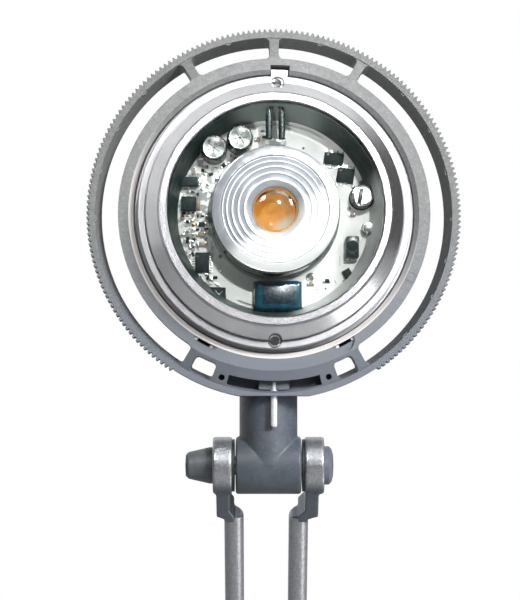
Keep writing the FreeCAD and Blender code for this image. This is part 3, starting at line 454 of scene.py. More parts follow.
def phosphor_mat():
    m, nt, out = new_mat("phosphor")
    p = node(nt, "ShaderNodeBsdfPrincipled")
    nt.links.new(p.outputs[0], out.inputs["Surface"])
    vec = coords(nt, axes)
    col = mix_col(nt, remap(nt, noise(nt, vec, 500.0, 4.0, 0.6), 0.35, 0.65, 0.0, 1.0, True), (0.95, 0.42, 0.05), (0.86, 0.32, 0.03))
    nt.links.new(col, p.inputs["Base Color"])
    nt.links.new(remap(nt, noise(nt, vec, 1500.0), 0.3, 0.7, 0.25, 0.4), p.inputs["Roughness"])
    p.inputs["Subsurface Weight"].default_value = 0.2
    p.inputs["Subsurface Radius"].default_value = (0.0006, 0.0003, 0.0001)
    nt.links.new(bump(nt, noise(nt, vec, 3000.0), 0.2, 0.00004), p.inputs["Normal"])
    return m


M["phosphor"] = phosphor_mat()
# painted glow: towards the lower right the LED is painted near-white, and both surfaces emit their own colour weakly,
# standing in for glare through the lens
for key in ("phosphor", "package"):
    tint(M[key], (0.98, 0.95, 0.88), lambda nt, x, y, z: along(nt, x, y, 0.56, -0.83, 0.0012, 0.0034), axes)
    painted_glow = [n for n in M[key].node_tree.nodes if n.type == "BSDF_PRINCIPLED"][0]
    M[key].node_tree.links.new(painted_glow.inputs["Base Color"].links[0].from_socket, painted_glow.inputs["Emission Color"])
    painted_glow.inputs["Emission Strength"].default_value = 0.32

NODE_MAT = {
    "base_pad": "rubber", "base_weight": "iron", "base_cover": "paint", "base_screws": "steel", "base_bush": "black_plastic",
    "cable_grommet": "rubber", "turret_tee": "slate", "turret_washer": "steel", "turret_screw": "steel",
    "lower_arm_left": "cast", "lower_arm_right": "cast", "shoulder_bolt": "steel", "shoulder_cap": "cap_grey",
    "shoulder_washers": "black_plastic", "elbow_bolt": "steel", "elbow_cap": "cap_grey", "elbow_washers": "black_plastic",
    "shoulder_knob": "dark_plastic", "elbow_knob": "dark_plastic", "upper_arm_left": "cast_top", "upper_arm_right": "cast_top",
    "elbow_spacer": "slate", "tilt_bolt": "steel", "tilt_cap": "cap_grey", "tilt_washers": "black_plastic",
    "tilt_knob": "dark_plastic", "neck_tee": "slate", "neck_washer": "steel", "neck_screw": "steel",
    "head_ring": "ring_grey", "neck_socket": "ring_grey", "socket_screws": "black_plastic", "rear_cover": "ring_grey",
    "cover_screws": "steel", "heat_sink": "raw_alu", "bezel_flange": "flange", "bezel_ring": "satin", "bezel_screws": "chrome",
    "cover_glass": "glass", "glass_gasket": "gasket", "spacer_ring": "gasket", "led_board": "fr4", "led_package": "package",
    "led_phosphor": "phosphor", "lens": "lens", "lens_holder": "holder", "capacitors": "can_top", "round_choke": "can_top",
    "power_choke": "blue", "control_chips": "ic", "power_parts": "ic", "metal_can": "can_top", "small_parts": "tan",
    "lead_wires": "black_plastic", "bayonet_clips": "ceramic", "switch_slider": "dark_plastic", "switch_pin": "lever",
}
M["spacer"] = surface("spacer_green", (0.035, 0.062, 0.056), (0.022, 0.042, 0.038), (0.32, 0.46), tone=160.0, grain=2600.0, grain_h=0.1, grain_d=0.00003, spec=0.10)
# painted light: the top of the wall is painted paler grey-green, as if lit from below
tint(M["spacer"], (0.27, 0.32, 0.305), lambda nt, x, y, z: math_node(nt, "MULTIPLY", remap(nt, y, 0.0225, 0.0275, 0.0, 0.9, True),
                                                                         math_node(nt, "MULTIPLY", remap(nt, x, -0.016, -0.008, 0.0, 1.0, True), remap(nt, x, 0.018, 0.010, 0.0, 1.0, True))), axes)
# painted shade: the left side of the wall is painted near-black
tint(M["spacer"], (0.012, 0.026, 0.024), lambda nt, x, y, z: remap(nt, x, -0.019, -0.025, 0.0, 0.9, True), axes)
# painted light: the right and lower right of the wall are painted near-white
tint(M["spacer"], (0.95, 0.96, 0.95), lambda nt, x, y, z: along(nt, x, y, 0.86, -0.50, 0.0185, 0.0250), axes)
NODE_MAT["spacer_ring"] = "spacer"
for n, key in NODE_MAT.items():
    o = NODES[n]
    o.data.materials.clear()
    o.data.materials.append(M[key])


# ---------------------------------------------------------------------------
# Mesh helpers, millimetres in the head's own frame
# ---------------------------------------------------------------------------
class Build:
    """Collects parts of one visible piece and writes them as one object with several finishes."""

    def __init__(self, name, body="head", to=TO_M):
        self.name, self.body, self.to = name, body, to
        self.bm = bmesh.new()
        self.keys = []

    def idx(self, key):
        if key not in self.keys:
            self.keys.append(key)
        return self.keys.index(key)

    def add(self, verts, faces, key, smooth=False):
        i = self.idx(key)
        vs = [self.bm.verts.new(v) for v in verts]
        for f in faces:
            try:
                face = self.bm.faces.new([vs[k] for k in f])
            except ValueError:
                continue
            face.material_index = i
            face.smooth = smooth

    def lathe(self, profile, key, seg=96, at=(0, 0, 0), closed=True, a0=0.0, a1=360.0, m=None):
        """Surface of revolution about Z through at, from (r, z) points; closed joins last to first."""
        full = abs(a1 - a0 - 360.0) < 1e-6
        verts, rings = [], []
        n = seg if full else seg + 1
        for r, z in profile:
            if r < 1e-6:
                rings.append([len(verts)])
                verts.append(Vector((0, 0, z)))
            else:
                rings.append(list(range(len(verts), len(verts) + n)))
                for k in range(n):
                    a = math.radians(a0 + (a1 - a0) * k / seg)
                    verts.append(Vector((r * math.cos(a), r * math.sin(a), z)))
        faces = []
        pairs = list(zip(rings, rings[1:]))
        if closed:
            pairs.append((rings[-1], rings[0]))
        for p, q in pairs:
            if len(p) == 1 and len(q) == 1:
                continue
            steps = seg if full else seg
            for k in range(steps):
                k2 = (k + 1) % n if full else k + 1
                if len(p) == 1:
                    faces.append((p[0], q[k2], q[k]))
                elif len(q) == 1:
                    faces.append((p[k], p[k2], q[0]))
                else:
                    faces.append((p[k], p[k2], q[k2], q[k]))
        if not full and closed:
            faces.append([r[0] for r in rings][::-1])
            faces.append([r[-1] for r in rings])
        t = Matrix.Translation(at) if m is None else m
        self.add([t @ v for v in verts], faces, key, True)

    def block(self, x, y, w, h, z0, z1, key, deg=0.0, r=0.12, seg=2, m=None, taper=0.0):
        """Box with bevelled edges, centred at x, y."""
        t = bmesh.new()
        bmesh.ops.create_cube(t, size=1.0)
        for v in t.verts:
            k = 1.0 - taper if v.co.z > 0 else 1.0
            v.co = Vector((v.co.x * w * k, v.co.y * h * k, (v.co.z + 0.5) * (z1 - z0) + z0))
        if r > 0:
            bmesh.ops.bevel(t, geom=t.edges[:], offset=r, segments=seg, affect="EDGES", profile=0.5)
        mat = Matrix.Translation((x, y, 0)) @ Matrix.Rotation(math.radians(deg), 4, "Z")
        if m is not None:
            mat = m
        t.verts.index_update()
        self.add([mat @ v.co for v in t.verts], [[v.index for v in f.verts] for f in t.faces], key, True)
        t.free()

    def tube(self, pts, r, key, seg=10, cap=True):
        """Round wire along points."""
        pts = [Vector(p) for p in pts]
        verts, faces = [], []
        up = Vector((0, 0, 1))
        prev = None
        for i, p in enumerate(pts):
            d = (pts[min(i + 1, len(pts) - 1)] - pts[max(i - 1, 0)]).normalized()
            if prev is None:
                a = d.cross(up)
                if a.length < 1e-3:
                    a = d.cross(Vector((1, 0, 0)))
                a.normalize()
            else:
                a = (prev - d * prev.dot(d)).normalized()
            prev = a
            b = d.cross(a)
            rr = r[i] if isinstance(r, (list, tuple)) else r
            for k in range(seg):
                t = 2 * math.pi * k / seg
                verts.append(p + a * (math.cos(t) * rr) + b * (math.sin(t) * rr))
        for i in range(len(pts) - 1):
            for k in range(seg):
                k2 = (k + 1) % seg
                faces.append((i * seg + k, i * seg + k2, (i + 1) * seg + k2, (i + 1) * seg + k))
        if cap:
            faces.append(list(range(seg))[::-1])
            faces.append([(len(pts) - 1) * seg + k for k in range(seg)])
        self.add(verts, faces, key, True)

    def done(self, replaces=(), angle=32.0):
        me = bpy.data.meshes.new(self.name)
        bmesh.ops.recalc_face_normals(self.bm, faces=self.bm.faces[:])
        self.bm.to_mesh(me)
        self.bm.free()
        me.transform(self.to)
        for k in self.keys:
            me.materials.append(M[k])
        me.set_sharp_from_angle(angle=math.radians(angle))
        o = bpy.data.objects.new(self.name, me)
        bpy.context.scene.collection.objects.link(o)
        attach(o, self.body)
        if replaces:
            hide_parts(*replaces)
        return o


def arc(cx, cy, z, r, a0, a1, n=12):
    return [(cx + r * math.cos(math.radians(a0 + (a1 - a0) * i / n)), cy + r * math.sin(math.radians(a0 + (a1 - a0) * i / n)), z) for i in range(n + 1)]


BT = -4.05        # front face of the circuit board

# --- lens: grooved front round a low dome -------------------------------------
b = Build("lens_grooved")
dome = [(0.0, 12.75)]
for i in range(1, 15):
    t = i / 14.0
    dome.append((6.75 * t, 10.95 + 1.8 * max(0.0, 1 - t * t) ** 0.5))
dome.append((6.9, 10.85))
b.lathe(dome, "dome", seg=128, closed=False)
grooves = [6.9, 9.55, 11.45, 13.25, 14.85, 16.2]
last = dome[-1]
for r0, r1 in zip(grooves[:-1], grooves[1:]):
    w = r1 - r0
    pts = [last] + [(r0 + 0.12 + (w - 0.24) * k / 10.0, 11.25 + 1.1 * math.sin(k / 10.0 * math.pi * 0.5) ** 1.3) for k in range(1, 11)] + [(r1, 11.25)]
    b.lathe(pts[:9], "lens_ring", seg=128, closed=False)
    b.lathe(pts[8:], "lens_crest", seg=128, closed=False)
    last = pts[-1]
b.lathe([last, (16.3, 12.35), (16.45, 12.5), (18.85, 12.5), (19.1, 12.4)], "lens_ring", seg=128, closed=False)
back = [(19.1, 12.4), (19.15, 12.2), (19.15, 11.15), (19.0, 11.0), (17.3, 11.0), (16.4, 9.3), (14.2, 6.2), (12.4, 4.0), (10.6, 2.0), (8.6, 0.0), (6.6, -1.9), (6.2, -2.0),
        (5.3, -2.0), (5.2, -1.8), (5.2, 2.6), (4.9, 3.1), (3.4, 3.4), (0.0, 3.6)]
b.lathe(back, "lens", seg=128, closed=False)
bmesh.ops.remove_doubles(b.bm, verts=b.bm.verts[:], dist=0.0005)
b.done(["lens"], angle=24)

# --- electrolytic capacitors ---------------------------------------------------
b = Build("capacitor_pair")
for cx, cy, rot in ((-18.5, 19.6, 20.0), (-10.6, 22.6, 65.0)):
    at = (cx, cy, 0)
    b.lathe([(0, BT + 0.02), (3.98, BT + 0.02), (3.98, BT + 1.5), (3.7, BT + 1.7), (3.7, BT + 1.9), (3.98, BT + 2.2), (3.98, 5.2),
             (3.85, 5.6), (3.55, 5.85), (3.4, 5.86)], "sleeve", seg=48, at=at, closed=False)
    b.lathe([(3.4, 5.84), (3.3, 5.98), (2.9, 5.96), (2.6, 5.8), (0, 5.78)], "cap_top", seg=48, at=at, closed=False)
    for k in range(3):
        m = Matrix.Translation((cx, cy, 0)) @ Matrix.Rotation(math.radians(rot + 60 * k), 4, "Z")
        b.block(0, 0, 4.6, 0.26, 5.66, 5.84, "sleeve", m=m, r=0.05)
b.done(["capacitors"])

# --- round choke can -------------------------------------------------------------
b = Build("round_choke_can")
b.lathe([(0, BT + 0.02), (3.8, BT + 0.02), (3.8, BT + 0.9), (3.5, BT + 1.2), (3.5, 1.9), (3.3, 2.2)], "sleeve", seg=48, at=(27.0, 5.4, 0), closed=False)
b.lathe([(3.3, 2.2), (3.35, 2.45), (3.2, 2.75), (2.9, 2.85), (2.7, 2.7), (0, 2.72)], "can_top", seg=48, at=(27.0, 5.4, 0), closed=False)
m = Matrix.Translation((26.3, 5.2, 0)) @ Matrix.Rotation(math.radians(80), 4, "Z")
b.block(0, 0, 5.0, 1.1, 2.6, 2.86, "sleeve", m=m, r=0.08)
b.done(["round_choke"])

# --- big choke: rounded teal block on a dark base ------------------------------
b = Build("power_choke_body")
b.block(1.2, -25.3, 15.0, 9.6, BT + 0.03, -2.7, "blue_dark", r=0.5, seg=3)
b.block(1.2, -25.1, 14.6, 9.1, -2.8, 1.45, "blue", r=1.5, seg=5)
b.block(1.2, -24.9, 9.6, 5.6, 1.2, 1.56, "blue_dark", r=0.16, seg=3)
for sx in (-1, 1):
    b.block(1.2 + sx * 6.95, -25.3, 0.9, 4.2, BT + 0.02, -1.2, "tin", r=0.12)
b.done(["power_choke"])


# --- chips with legs ---------------------------------------------------------
def chip(b, x, y, w, h, z1, legs, side, deg=0.0, leg_w=0.42, key="ic"):
    """A moulded body with gull-wing legs on two sides; side 'x' means left and right."""
    T = Matrix.Translation((x, y, 0)) @ Matrix.Rotation(math.radians(deg), 4, "Z")
    b.block(0, 0, w, h, BT + 0.12, z1, key, m=T, r=0.16, taper=0.05)
    span = (h if side == "x" else w) * 0.86
    for i in range(legs):
        u = -span / 2 + span * i / (legs - 1)
        for s in (-1, 1):
            half = (w if side == "x" else h) / 2
            pts = [(half - 0.1, 0.62), (half + 0.28, 0.60), (half + 0.42, 0.12), (half + 0.95, 0.10)]
            for (d0, z0), (d1, z1b) in zip(pts, pts[1:]):
                mid, ln = (d0 + d1) / 2, math.hypot(d1 - d0, z1b - z0)
                tilt = math.atan2(z1b - z0, d1 - d0)
                if side == "x":
                    m = T @ Matrix.Translation((s * mid, u, BT + (z0 + z1b) / 2)) @ Matrix.Rotation(-s * tilt, 4, "Y")
                    b.block(0, 0, ln + 0.08, leg_w, -0.07, 0.07, "tin", m=m, r=0.0)
                else:
                    m = T @ Matrix.Translation((u, s * mid, BT + (z0 + z1b) / 2)) @ Matrix.Rotation(s * tilt, 4, "X")
                    b.block(0, 0, leg_w, ln + 0.08, -0.07, 0.07, "tin", m=m, r=0.0)
    # pin-one dimple
    b.lathe([(0, z1 - 0.02), (0.32, z1 - 0.02), (0.36, z1 + 0.012), (0.0, z1 + 0.014)], "sleeve", seg=14,
            m=T @ Matrix.Translation((-w * 0.32, h * 0.3, 0)), closed=False)


b = Build("control_chip_set")
chip(b, 18.6, 17.6, 6.2, 3.7, -2.5, 4, "y", -8)
chip(b, 22.2, 12.4, 5.4, 4.7, -2.5, 5, "y", -8, 0.5)
chip(b, -22.0, -14.7, 4.4, 6.4, -2.9, 8, "x", 0, 0.38)
b.done(["control_chips"])

# --- power parts -----------------------------------------------------------------
b = Build("power_part_set")
b.block(24.0, -10.2, 3.9, 6.6, BT + 0.05, 0.9, "sleeve", r=0.35, seg=3)
b.lathe([(0, 0.98), (1.5, 0.98), (1.7, 0.86)], "ic", seg=28, at=(24.0, -9.8, 0), closed=False)
for k in range(3):
    b.tube([(22.8 + k * 1.2, -13.3, BT + 1.6), (22.8 + k * 1.2, -13.9, BT + 1.2), (22.8 + k * 1.2, -14.1, BT + 0.1)], 0.26, "tin")
b.block(-26.2, 3.3, 4.6, 4.3, BT + 0.05, -0.65, "ic", r=0.25)
b.block(-23.4, 3.4, 1.5, 3.6, BT + 0.04, -2.6, "tan", r=0.15)
b.block(-24.3, 3.4, 0.5, 3.0, -3.2, -0.8, "tin", r=0.08)
b.block(-26.0, 10.2, 5.0, 2.8, BT + 0.05, -0.65, "ic", r=0.25)
b.block(-23.0, 10.3, 1.2, 2.4, BT + 0.04, -2.2, "tin", r=0.12)
b.block(22.9, -18.4, 2.4, 3.6, BT + 0.04, -2.05, "ic", 30, r=0.15)
b.block(22.3, -20.0, 2.2, 0.7, BT + 0.02, -3.2, "gold", 30, r=0.1)
b.done(["power_parts"])

# --- small can -----------------------------------------------------------------
b = Build("metal_can_small")
b.lathe([(0, BT + 0.02), (1.98, BT + 0.02), (1.98, BT + 0.5), (1.75, BT + 0.7), (1.75, 0.1), (1.6, 0.4), (1.3, 0.48), (0, 0.46)], "can_top", seg=36, at=(29.0, -4.0, 0), closed=False)
b.done(["metal_can"])

# --- surface-mount parts ---------------------------------------------------------
b = Build("small_part_set")
SMD = [(-5.0, 23.6, 2.0, 1.25, -3.3, 0, "tan"), (-22.2, -2.9, 3.2, 1.6, -3.2, 0, "ic"), (-22.4, -6.0, 3.2, 1.6, -3.2, 0, "tan"),
       (-22.0, -9.1, 3.2, 1.6, -3.2, 0, "tan"), (-26.6, -2.0, 1.6, 0.9, -3.3, 0, "ic"), (-26.6, -5.1, 1.6, 0.9, -3.3, 0, "tan"),
       (-26.6, -8.2, 1.6, 0.9, -3.3, 0, "ic"), (16.4, -20.2, 2.0, 1.25, -3.3, 0, "ic"), (11.4, -21.2, 2.0, 1.25, -3.3, 0, "tan"),
       (-15.5, 15.4, 2.0, 1.25, -3.3, 45, "ic"), (24.2, 0.2, 2.0, 1.25, -3.3, 0, "tan")]
for x, y, w, h, z1, deg, key in SMD:
    T = Matrix.Translation((x, y, 0)) @ Matrix.Rotation(math.radians(deg), 4, "Z")
    b.block(0, 0, w * 0.62, h * 0.94, BT + 0.02, z1, key, m=T, r=0.08)
    for s in (-1, 1):
        m = T @ Matrix.Translation((s * w * 0.4, 0, 0))
        b.block(0, 0, w * 0.2, h, BT + 0.01, z1 + 0.02, "tin", m=m, r=0.07)
b.done(["small_parts"])

# --- lead wires --------------------------------------------------------------------
b = Build("lead_pair")
for x in (-1.9, 2.0):
    b.tube([(x, 21.45, 9.2), (x, 24.0, 9.25), (x, 27.0, 9.2), (x, 29.2, 9.2), (x, 30.9, 9.2)], [0.98, 1.03, 1.03, 1.02, 0.9], "sleeve", seg=20)
b.done(["lead_wires"])


# ---------------------------------------------------------------------------
# Extra board detail that has no node of its own
# ---------------------------------------------------------------------------
rng = random.Random(7)
b = Build("board_details")
# ring pads and holes
for x, y, r in ((-17.6, 10.9, 1.25), (11.5, -19.3, 1.6), (-14.0, -27.6, 0.9)):
    b.lathe([(r * 0.45, BT + 0.015), (r * 0.5, BT + 0.09), (r, BT + 0.08), (r + 0.05, BT + 0.01)], "solder", seg=28, at=(x, y, 0), closed=False)
    b.lathe([(0, BT + 0.012), (r * 0.45, BT + 0.014)], "ink", seg=20, at=(x, y, 0), closed=False)
for x, y, r in ((9.2, 21.0, 0.42), (-20.6, -0.65, 0.55), (-16.4, -12.7, 0.6), (16.0, -22.6, 0.3), (26.6, -22.0, 0.4)):
    b.lathe([(0, BT + 0.03), (r * 0.8, BT + 0.03), (r, BT + 0.005)], "ink", seg=18, at=(x, y, 0), closed=False)
# corner part at lower left: a dark three-cornered block
tri = [(-20.6, -22.4), (-14.9, -22.6), (-14.7, -27.2), (-15.6, -28.0)]
vs = [Vector((x, y, BT + 0.02)) for x, y in tri] + [Vector((x * 0.995, y * 0.995, -1.9)) for x, y in tri]
b.add(vs, [(0, 1, 2, 3), (4, 7, 6, 5), (0, 4, 5, 1), (1, 5, 6, 2), (2, 6, 7, 3), (3, 7, 4, 0)], "ic")
b.tube([(-18.0, -23.2, -1.85), (-17.0, -24.7, -1.8), (-15.6, -23.6, -1.85)], 0.22, "tin")
# columns of tiny parts on the left
for i in range(7):
    y = 0.6 - i * 1.65
    for x, w in ((-27.9, 1.2), (-24.7, 1.1)):
        if math.hypot(x, y) > 28.6 or (x < -26 and min(abs(y + 2.0), abs(y + 5.1), abs(y + 8.2)) < 0.9):
            continue
        key = rng.choice(["tin", "solder", "ic", "tan", "gold"])
        b.block(x + rng.uniform(-0.15, 0.15), y + rng.uniform(-0.1, 0.1), w, 0.8, BT + 0.01, BT + 0.55 + rng.uniform(0, 0.25), key, deg=rng.uniform(-4, 4), r=0.08)
for i in range(9):
    a = math.radians(196 + i * 5.0)
    x, y = 27.6 * math.cos(a), 27.6 * math.sin(a)
    key = rng.choice(["tin", "solder", "ic", "tin"])
    b.block(x, y, 1.5, 0.85, BT + 0.01, BT + 0.5 + rng.uniform(0, 0.3), key, deg=196 + i * 5.0 + 90 + rng.uniform(-12, 12), r=0.08)
for x, y in ((-20.4, 14.9), (-16.8, 13.7), (-14.0, 16.4), (-22.9, 15.5), (-24.8, 12.9), (-22.0, 8.1), (-21.2, 12.6), (-13.2, 18.6)):
    b.block(x, y, rng.uniform(0.8, 1.4), rng.uniform(0.6, 0.9), BT + 0.01, BT + 0.45 + rng.uniform(0, 0.3), rng.choice(["tin", "solder", "ic", "tan"]), deg=rng.choice([0, 45, 90]), r=0.07)
for x, y in ((-18.0, -19.3), (-20.2, -19.4), (-22.6, -19.4), (-16.0, -17.3), (-25.5, -12.0), (-25.9, -14.4), (-24.9, -17.0)):
    b.block(x, y, rng.uniform(0.9, 1.5), rng.uniform(0.6, 0.9), BT + 0.01, BT + 0.45 + rng.uniform(0, 0.25), rng.choice(["tin", "solder", "ic"]), deg=rng.choice([0, 90, 45]), r=0.07)
for i in range(9):
    for j in range(6):
        x, y = -28.0 + j * 1.5 + rng.uniform(-0.12, 0.12), -0.3 - i * 1.35 + rng.uniform(-0.12, 0.12)
        near = any(abs(x - sx) < w / 2 + 0.75 and abs(y - sy) < h / 2 + 0.55 for sx, sy, w, h, _z, _d, _k in SMD)
        if near or math.hypot(x, y) > 28.2 or (x > -24.6 and y < -10.6) or y > 0.6:
            continue
        b.block(x, y, rng.uniform(0.7, 1.15), rng.uniform(0.5, 0.75), BT + 0.01, BT + 0.4 + rng.uniform(0, 0.3), rng.choice(["tin", "ic", "ic", "solder", "tan", "sleeve"]), deg=rng.choice([0, 90]), r=0.06)
for x, y in ((-26.4, 7.4), (-24.9, 7.2), (-23.4, 6.6), (-20.4, 9.6), (-19.6, 7.4), (-21.9, 13.9), (-19.4, 12.7), (-17.9, 14.6), (-24.2, 14.4), (-25.6, 12.6),
             (-15.3, 13.0), (-12.6, 15.6), (-11.9, 17.3), (-3.0, 24.4), (-3.4, 26.2), (-6.6, 27.2), (-26.9, -11.4), (-24.6, -19.0), (-23.4, -20.6), (-21.6, -21.2)):
    if math.hypot(x, y) < 28.2:
        b.block(x, y, rng.uniform(0.8, 1.5), rng.uniform(0.6, 0.95), BT + 0.01, BT + 0.4 + rng.uniform(0, 0.4), rng.choice(["ic", "sleeve", "tin", "solder", "tan"]), deg=rng.choice([0, 90, 20]), r=0.07)
# printed outlines: plain bars and frames
for x, y, w, h, deg in ((-19.0, -2.9, 0.16, 2.0, 0), (-19.0, -6.0, 0.16, 2.0, 0), (-19.0, -9.1, 0.16, 2.0, 0), (18.6, 14.6, 5.0, 0.14, -8),
                        (13.2, -22.9, 1.6, 0.14, 0), (19.0, -20.5, 0.14, 1.4, 20), (20.4, -14.0, 0.14, 3.0, 0)):
    b.block(x, y, w, h, BT + 0.005, BT + 0.03, "ink", deg=deg, r=0.0)
# solder blobs along the parts
for x, y in ((-13.2, 24.8), (-8.3, 26.9), (-22.2, 22.6), (24.5, 9.0), (29.9, 9.2), (30.4, 2.4), (23.3, 2.2), (-6.9, -28.9), (9.0, -28.9)):
    if math.hypot(x, y) < 28.8:
        b.lathe([(0, BT + 0.5), (0.35, BT + 0.42), (0.62, BT + 0.15), (0.72, BT + 0.01)], "solder", seg=18, at=(x, y, 0), closed=False)
b.done()

# painted highlight: short white arcs where the wall meets the board, standing in for thin lines of light
b = Build("highlight_arcs")
for a0, a1 in ((57.0, 112.0), (166.0, 176.0), (247.0, 257.0)):
    pts = [(28.25 * math.cos(math.radians(a0 + (a1 - a0) * i / 24)), 28.25 * math.sin(math.radians(a0 + (a1 - a0) * i / 24)), -3.5) for i in range(25)]
    b.tube(pts, [0.1] + [0.3] * 23 + [0.1], "ceramic", seg=10)
b.done()

# clamp under the leads: translucent tab, and four thin wires that come down from the rim
b = Build("lead_clip")
b.block(0.05, 20.75, 6.4, 2.3, 6.0, 10.4, "gasket", r=0.5, seg=3)
b.done()
b = Build("lead_cores")
for i, x in enumerate((-2.45, -1.25, 1.35, 2.6)):
    b.tube([(x * 0.75, 31.3, 9.9), (x, 30.6, 10.3), (x, 29.5, 9.9), (x * 0.95, 28.2, 9.3)], 0.33, "sleeve", seg=12)
b.done()


# ---------------------------------------------------------------------------
# Soft edges on the castings and mouldings
# ---------------------------------------------------------------------------
def soften(name, width, angle=28.0, seg=2):
    o = NODES[name]
    w = o.modifiers.new("weld", "WELD")
    w.merge_threshold = 1e-6
    m = o.modifiers.new("edge", "BEVEL")
    m.width = width
    m.segments = seg
    m.limit_method = "ANGLE"
    m.angle_limit = math.radians(angle)
    m.harden_normals = False
    m.use_clamp_overlap = True


def cast_skin(name, voxel, smooth, factor=0.5):
    """A cast or moulded skin: closed remesh with rounded edges."""
    o = NODES[name]
    w = o.modifiers.new("weld", "WELD")
    w.merge_threshold = 1e-6
    r = o.modifiers.new("skin", "REMESH")
    r.mode = "VOXEL"
    r.voxel_size = voxel
    r.use_smooth_shade = True
    s = o.modifiers.new("soft", "SMOOTH")
    s.factor = factor
    s.iterations = smooth


for n in ("upper_arm_left", "upper_arm_right", "lower_arm_left", "lower_arm_right"):
    cast_skin(n, 0.00035, 4)
cast_skin("neck_tee", 0.0003, 3)
cast_skin("turret_tee", 0.0004, 3)


# ---------------------------------------------------------------------------
# Floor, world, lights
# ---------------------------------------------------------------------------
floor_m, nt, out = new_mat("floor")
p = node(nt, "ShaderNodeBsdfPrincipled")
p.inputs["Roughness"].default_value = 0.75
p.inputs["Specular IOR Level"].default_value = 0.2
fv = coords(nt)
nt.links.new(mix_col(nt, noise(nt, fv, 3.0, 3.0), (0.42, 0.42, 0.42), (0.38, 0.38, 0.38)), p.inputs["Base Color"])
nt.links.new(p.outputs[0], out.inputs["Surface"])
me = bpy.data.meshes.new("floor")
bm = bmesh.new()
bmesh.ops.create_circle(bm, cap_ends=True, radius=3.2, segments=96)
bm.to_mesh(me)
bm.free()
me.materials.append(floor_m)
floor = bpy.data.objects.new("floor", me)
bpy.context.scene.collection.objects.link(floor)

world = bpy.data.worlds.new("studio")
world.use_nodes = True
bpy.context.scene.world = world
nt = world.node_tree
nt.nodes.clear()
wout = nt.nodes.new("ShaderNodeOutputWorld")
tc = node(nt, "ShaderNodeTexCoord")
sep = node(nt, "ShaderNodeSeparateXYZ")
nt.links.new(tc.outputs["Generated"], sep.inputs[0])
dx, dy, dz = sep.outputs
az = math_node(nt, "ARCTAN2", dx, math_node(nt, "MULTIPLY", dy, -1.0))       # 0 at the viewer's side, + to the right
el = math_node(nt, "ARCSINE", dz)


def win(v, a, b, soft):
    """1 between a and b degrees, with soft ends."""
    lo = remap(nt, v, math.radians(a - soft), math.radians(a + soft), 0.0, 1.0, True)
    hi = remap(nt, v, math.radians(b - soft), math.radians(b + soft), 1.0, 0.0, True)
    return math_node(nt, "MULTIPLY", lo, hi)


box_fr = math_node(nt, "MULTIPLY", win(az, -3, 84, 4), win(el, 4, 76, 6))
# the dark patch of the viewer's side, which the flat front glass mirrors
vdot = node(nt, "ShaderNodeVectorMath", operation="DOT_PRODUCT")
nt.links.new(tc.outputs["Generated"], vdot.inputs[0])
vdot.inputs[1].default_value = (0.063, -0.978, 0.199)
hole = remap(nt, vdot.outputs["Value"], math.cos(math.radians(11.5)), math.cos(math.radians(8.5)), 1.0, 0.02, True)
box_fr = math_node(nt, "MULTIPLY", box_fr, hole)
back = math_node(nt, "MULTIPLY", remap(nt, dy, -0.05, 0.25, 0.0, 1.0, True),
                 remap(nt, math_node(nt, "SUBTRACT", dx, math_node(nt, "MULTIPLY", dz, 0.55)), 0.0, 0.55, 1.0, 0.0, True))
total = math_node(nt, "ADD", math_node(nt, "MULTIPLY", box_fr, 1.15), math_node(nt, "MULTIPLY", back, 0.80))
total = math_node(nt, "ADD", total, 0.05)
comb = node(nt, "ShaderNodeCombineColor")
nt.links.new(math_node(nt, "MULTIPLY", total, 0.98), comb.inputs[0])
nt.links.new(math_node(nt, "MULTIPLY", total, 0.995), comb.inputs[1])
nt.links.new(total, comb.inputs[2])
bg_light = node(nt, "ShaderNodeBackground")
nt.links.new(comb.outputs[0], bg_light.inputs[0])
bg_cam = node(nt, "ShaderNodeBackground")
bg_cam.inputs[0].default_value = (1, 1, 1, 1)
bg_cam.inputs[1].default_value = 1.0
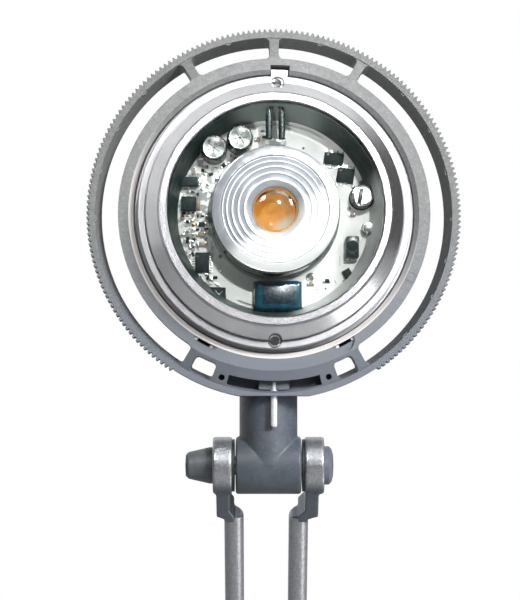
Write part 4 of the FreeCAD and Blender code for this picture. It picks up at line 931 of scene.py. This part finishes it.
lp = node(nt, "ShaderNodeLightPath")
mixw = node(nt, "ShaderNodeMixShader")
# sight, also straight through clear glass
nt.links.new(lp.outputs["Is Camera Ray"], mixw.inputs[0])
nt.links.new(bg_light.outputs[0], mixw.inputs[1])
nt.links.new(bg_cam.outputs[0], mixw.inputs[2])
nt.links.new(mixw.outputs[0], wout.inputs[0])


def area(name, loc, target, size, power, color=(1, 1, 1), size_y=None):
    d = bpy.data.lights.new(name, "AREA")
    d.energy = power
    d.color = color
    d.size = size
    if size_y:
        d.shape = "RECTANGLE"
        d.size_y = size_y
    o = bpy.data.objects.new(name, d)
    o.location = loc
    o.rotation_euler = (Vector(target) - Vector(loc)).to_track_quat("-Z", "Y").to_euler()
    bpy.context.scene.collection.objects.link(o)
    o.visible_camera = False
    return o


area("key_front", (0.85, -1.00, 1.30), (0.0, -0.03, 0.66), 0.34, 22.0)
glint = area("glint", (-0.430, -0.938, 1.358), (0.0017, -0.043, 0.688), 0.28, 7.6)
glint.visible_diffuse = False
low_right = area("low_right", (0.55, -0.12, 0.12), (0.0, -0.02, 0.58), 0.40, 0.24)
low_right.data.spread = math.radians(75)
# narrow beam into the head
d = bpy.data.lights.new("beam", "SPOT")
d.energy = 58.0
d.spot_size = math.radians(3.9)
d.spot_blend = 0.35
d.shadow_soft_size = 0.03
beam = bpy.data.objects.new("beam", d)
beam.location = (0.19, -1.17, 1.13)
beam.rotation_euler = (Vector((0.0015, -0.031, 0.688)) - Vector(beam.location)).to_track_quat("-Z", "Y").to_euler()
bpy.context.scene.collection.objects.link(beam)

# a second one from below, onto the upper part of the wall inside
d = bpy.data.lights.new("beam_low", "SPOT")
d.energy = 50.0
d.spot_size = math.radians(2.5)
d.spot_blend = 0.6
d.shadow_soft_size = 0.03
low = bpy.data.objects.new("beam_low", d)
low.location = (-0.10, -1.0, 0.40)
low.rotation_euler = (Vector((0.0015, -0.03, 0.7135)) - Vector(low.location)).to_track_quat("-Z", "Y").to_euler()
bpy.context.scene.collection.objects.link(low)
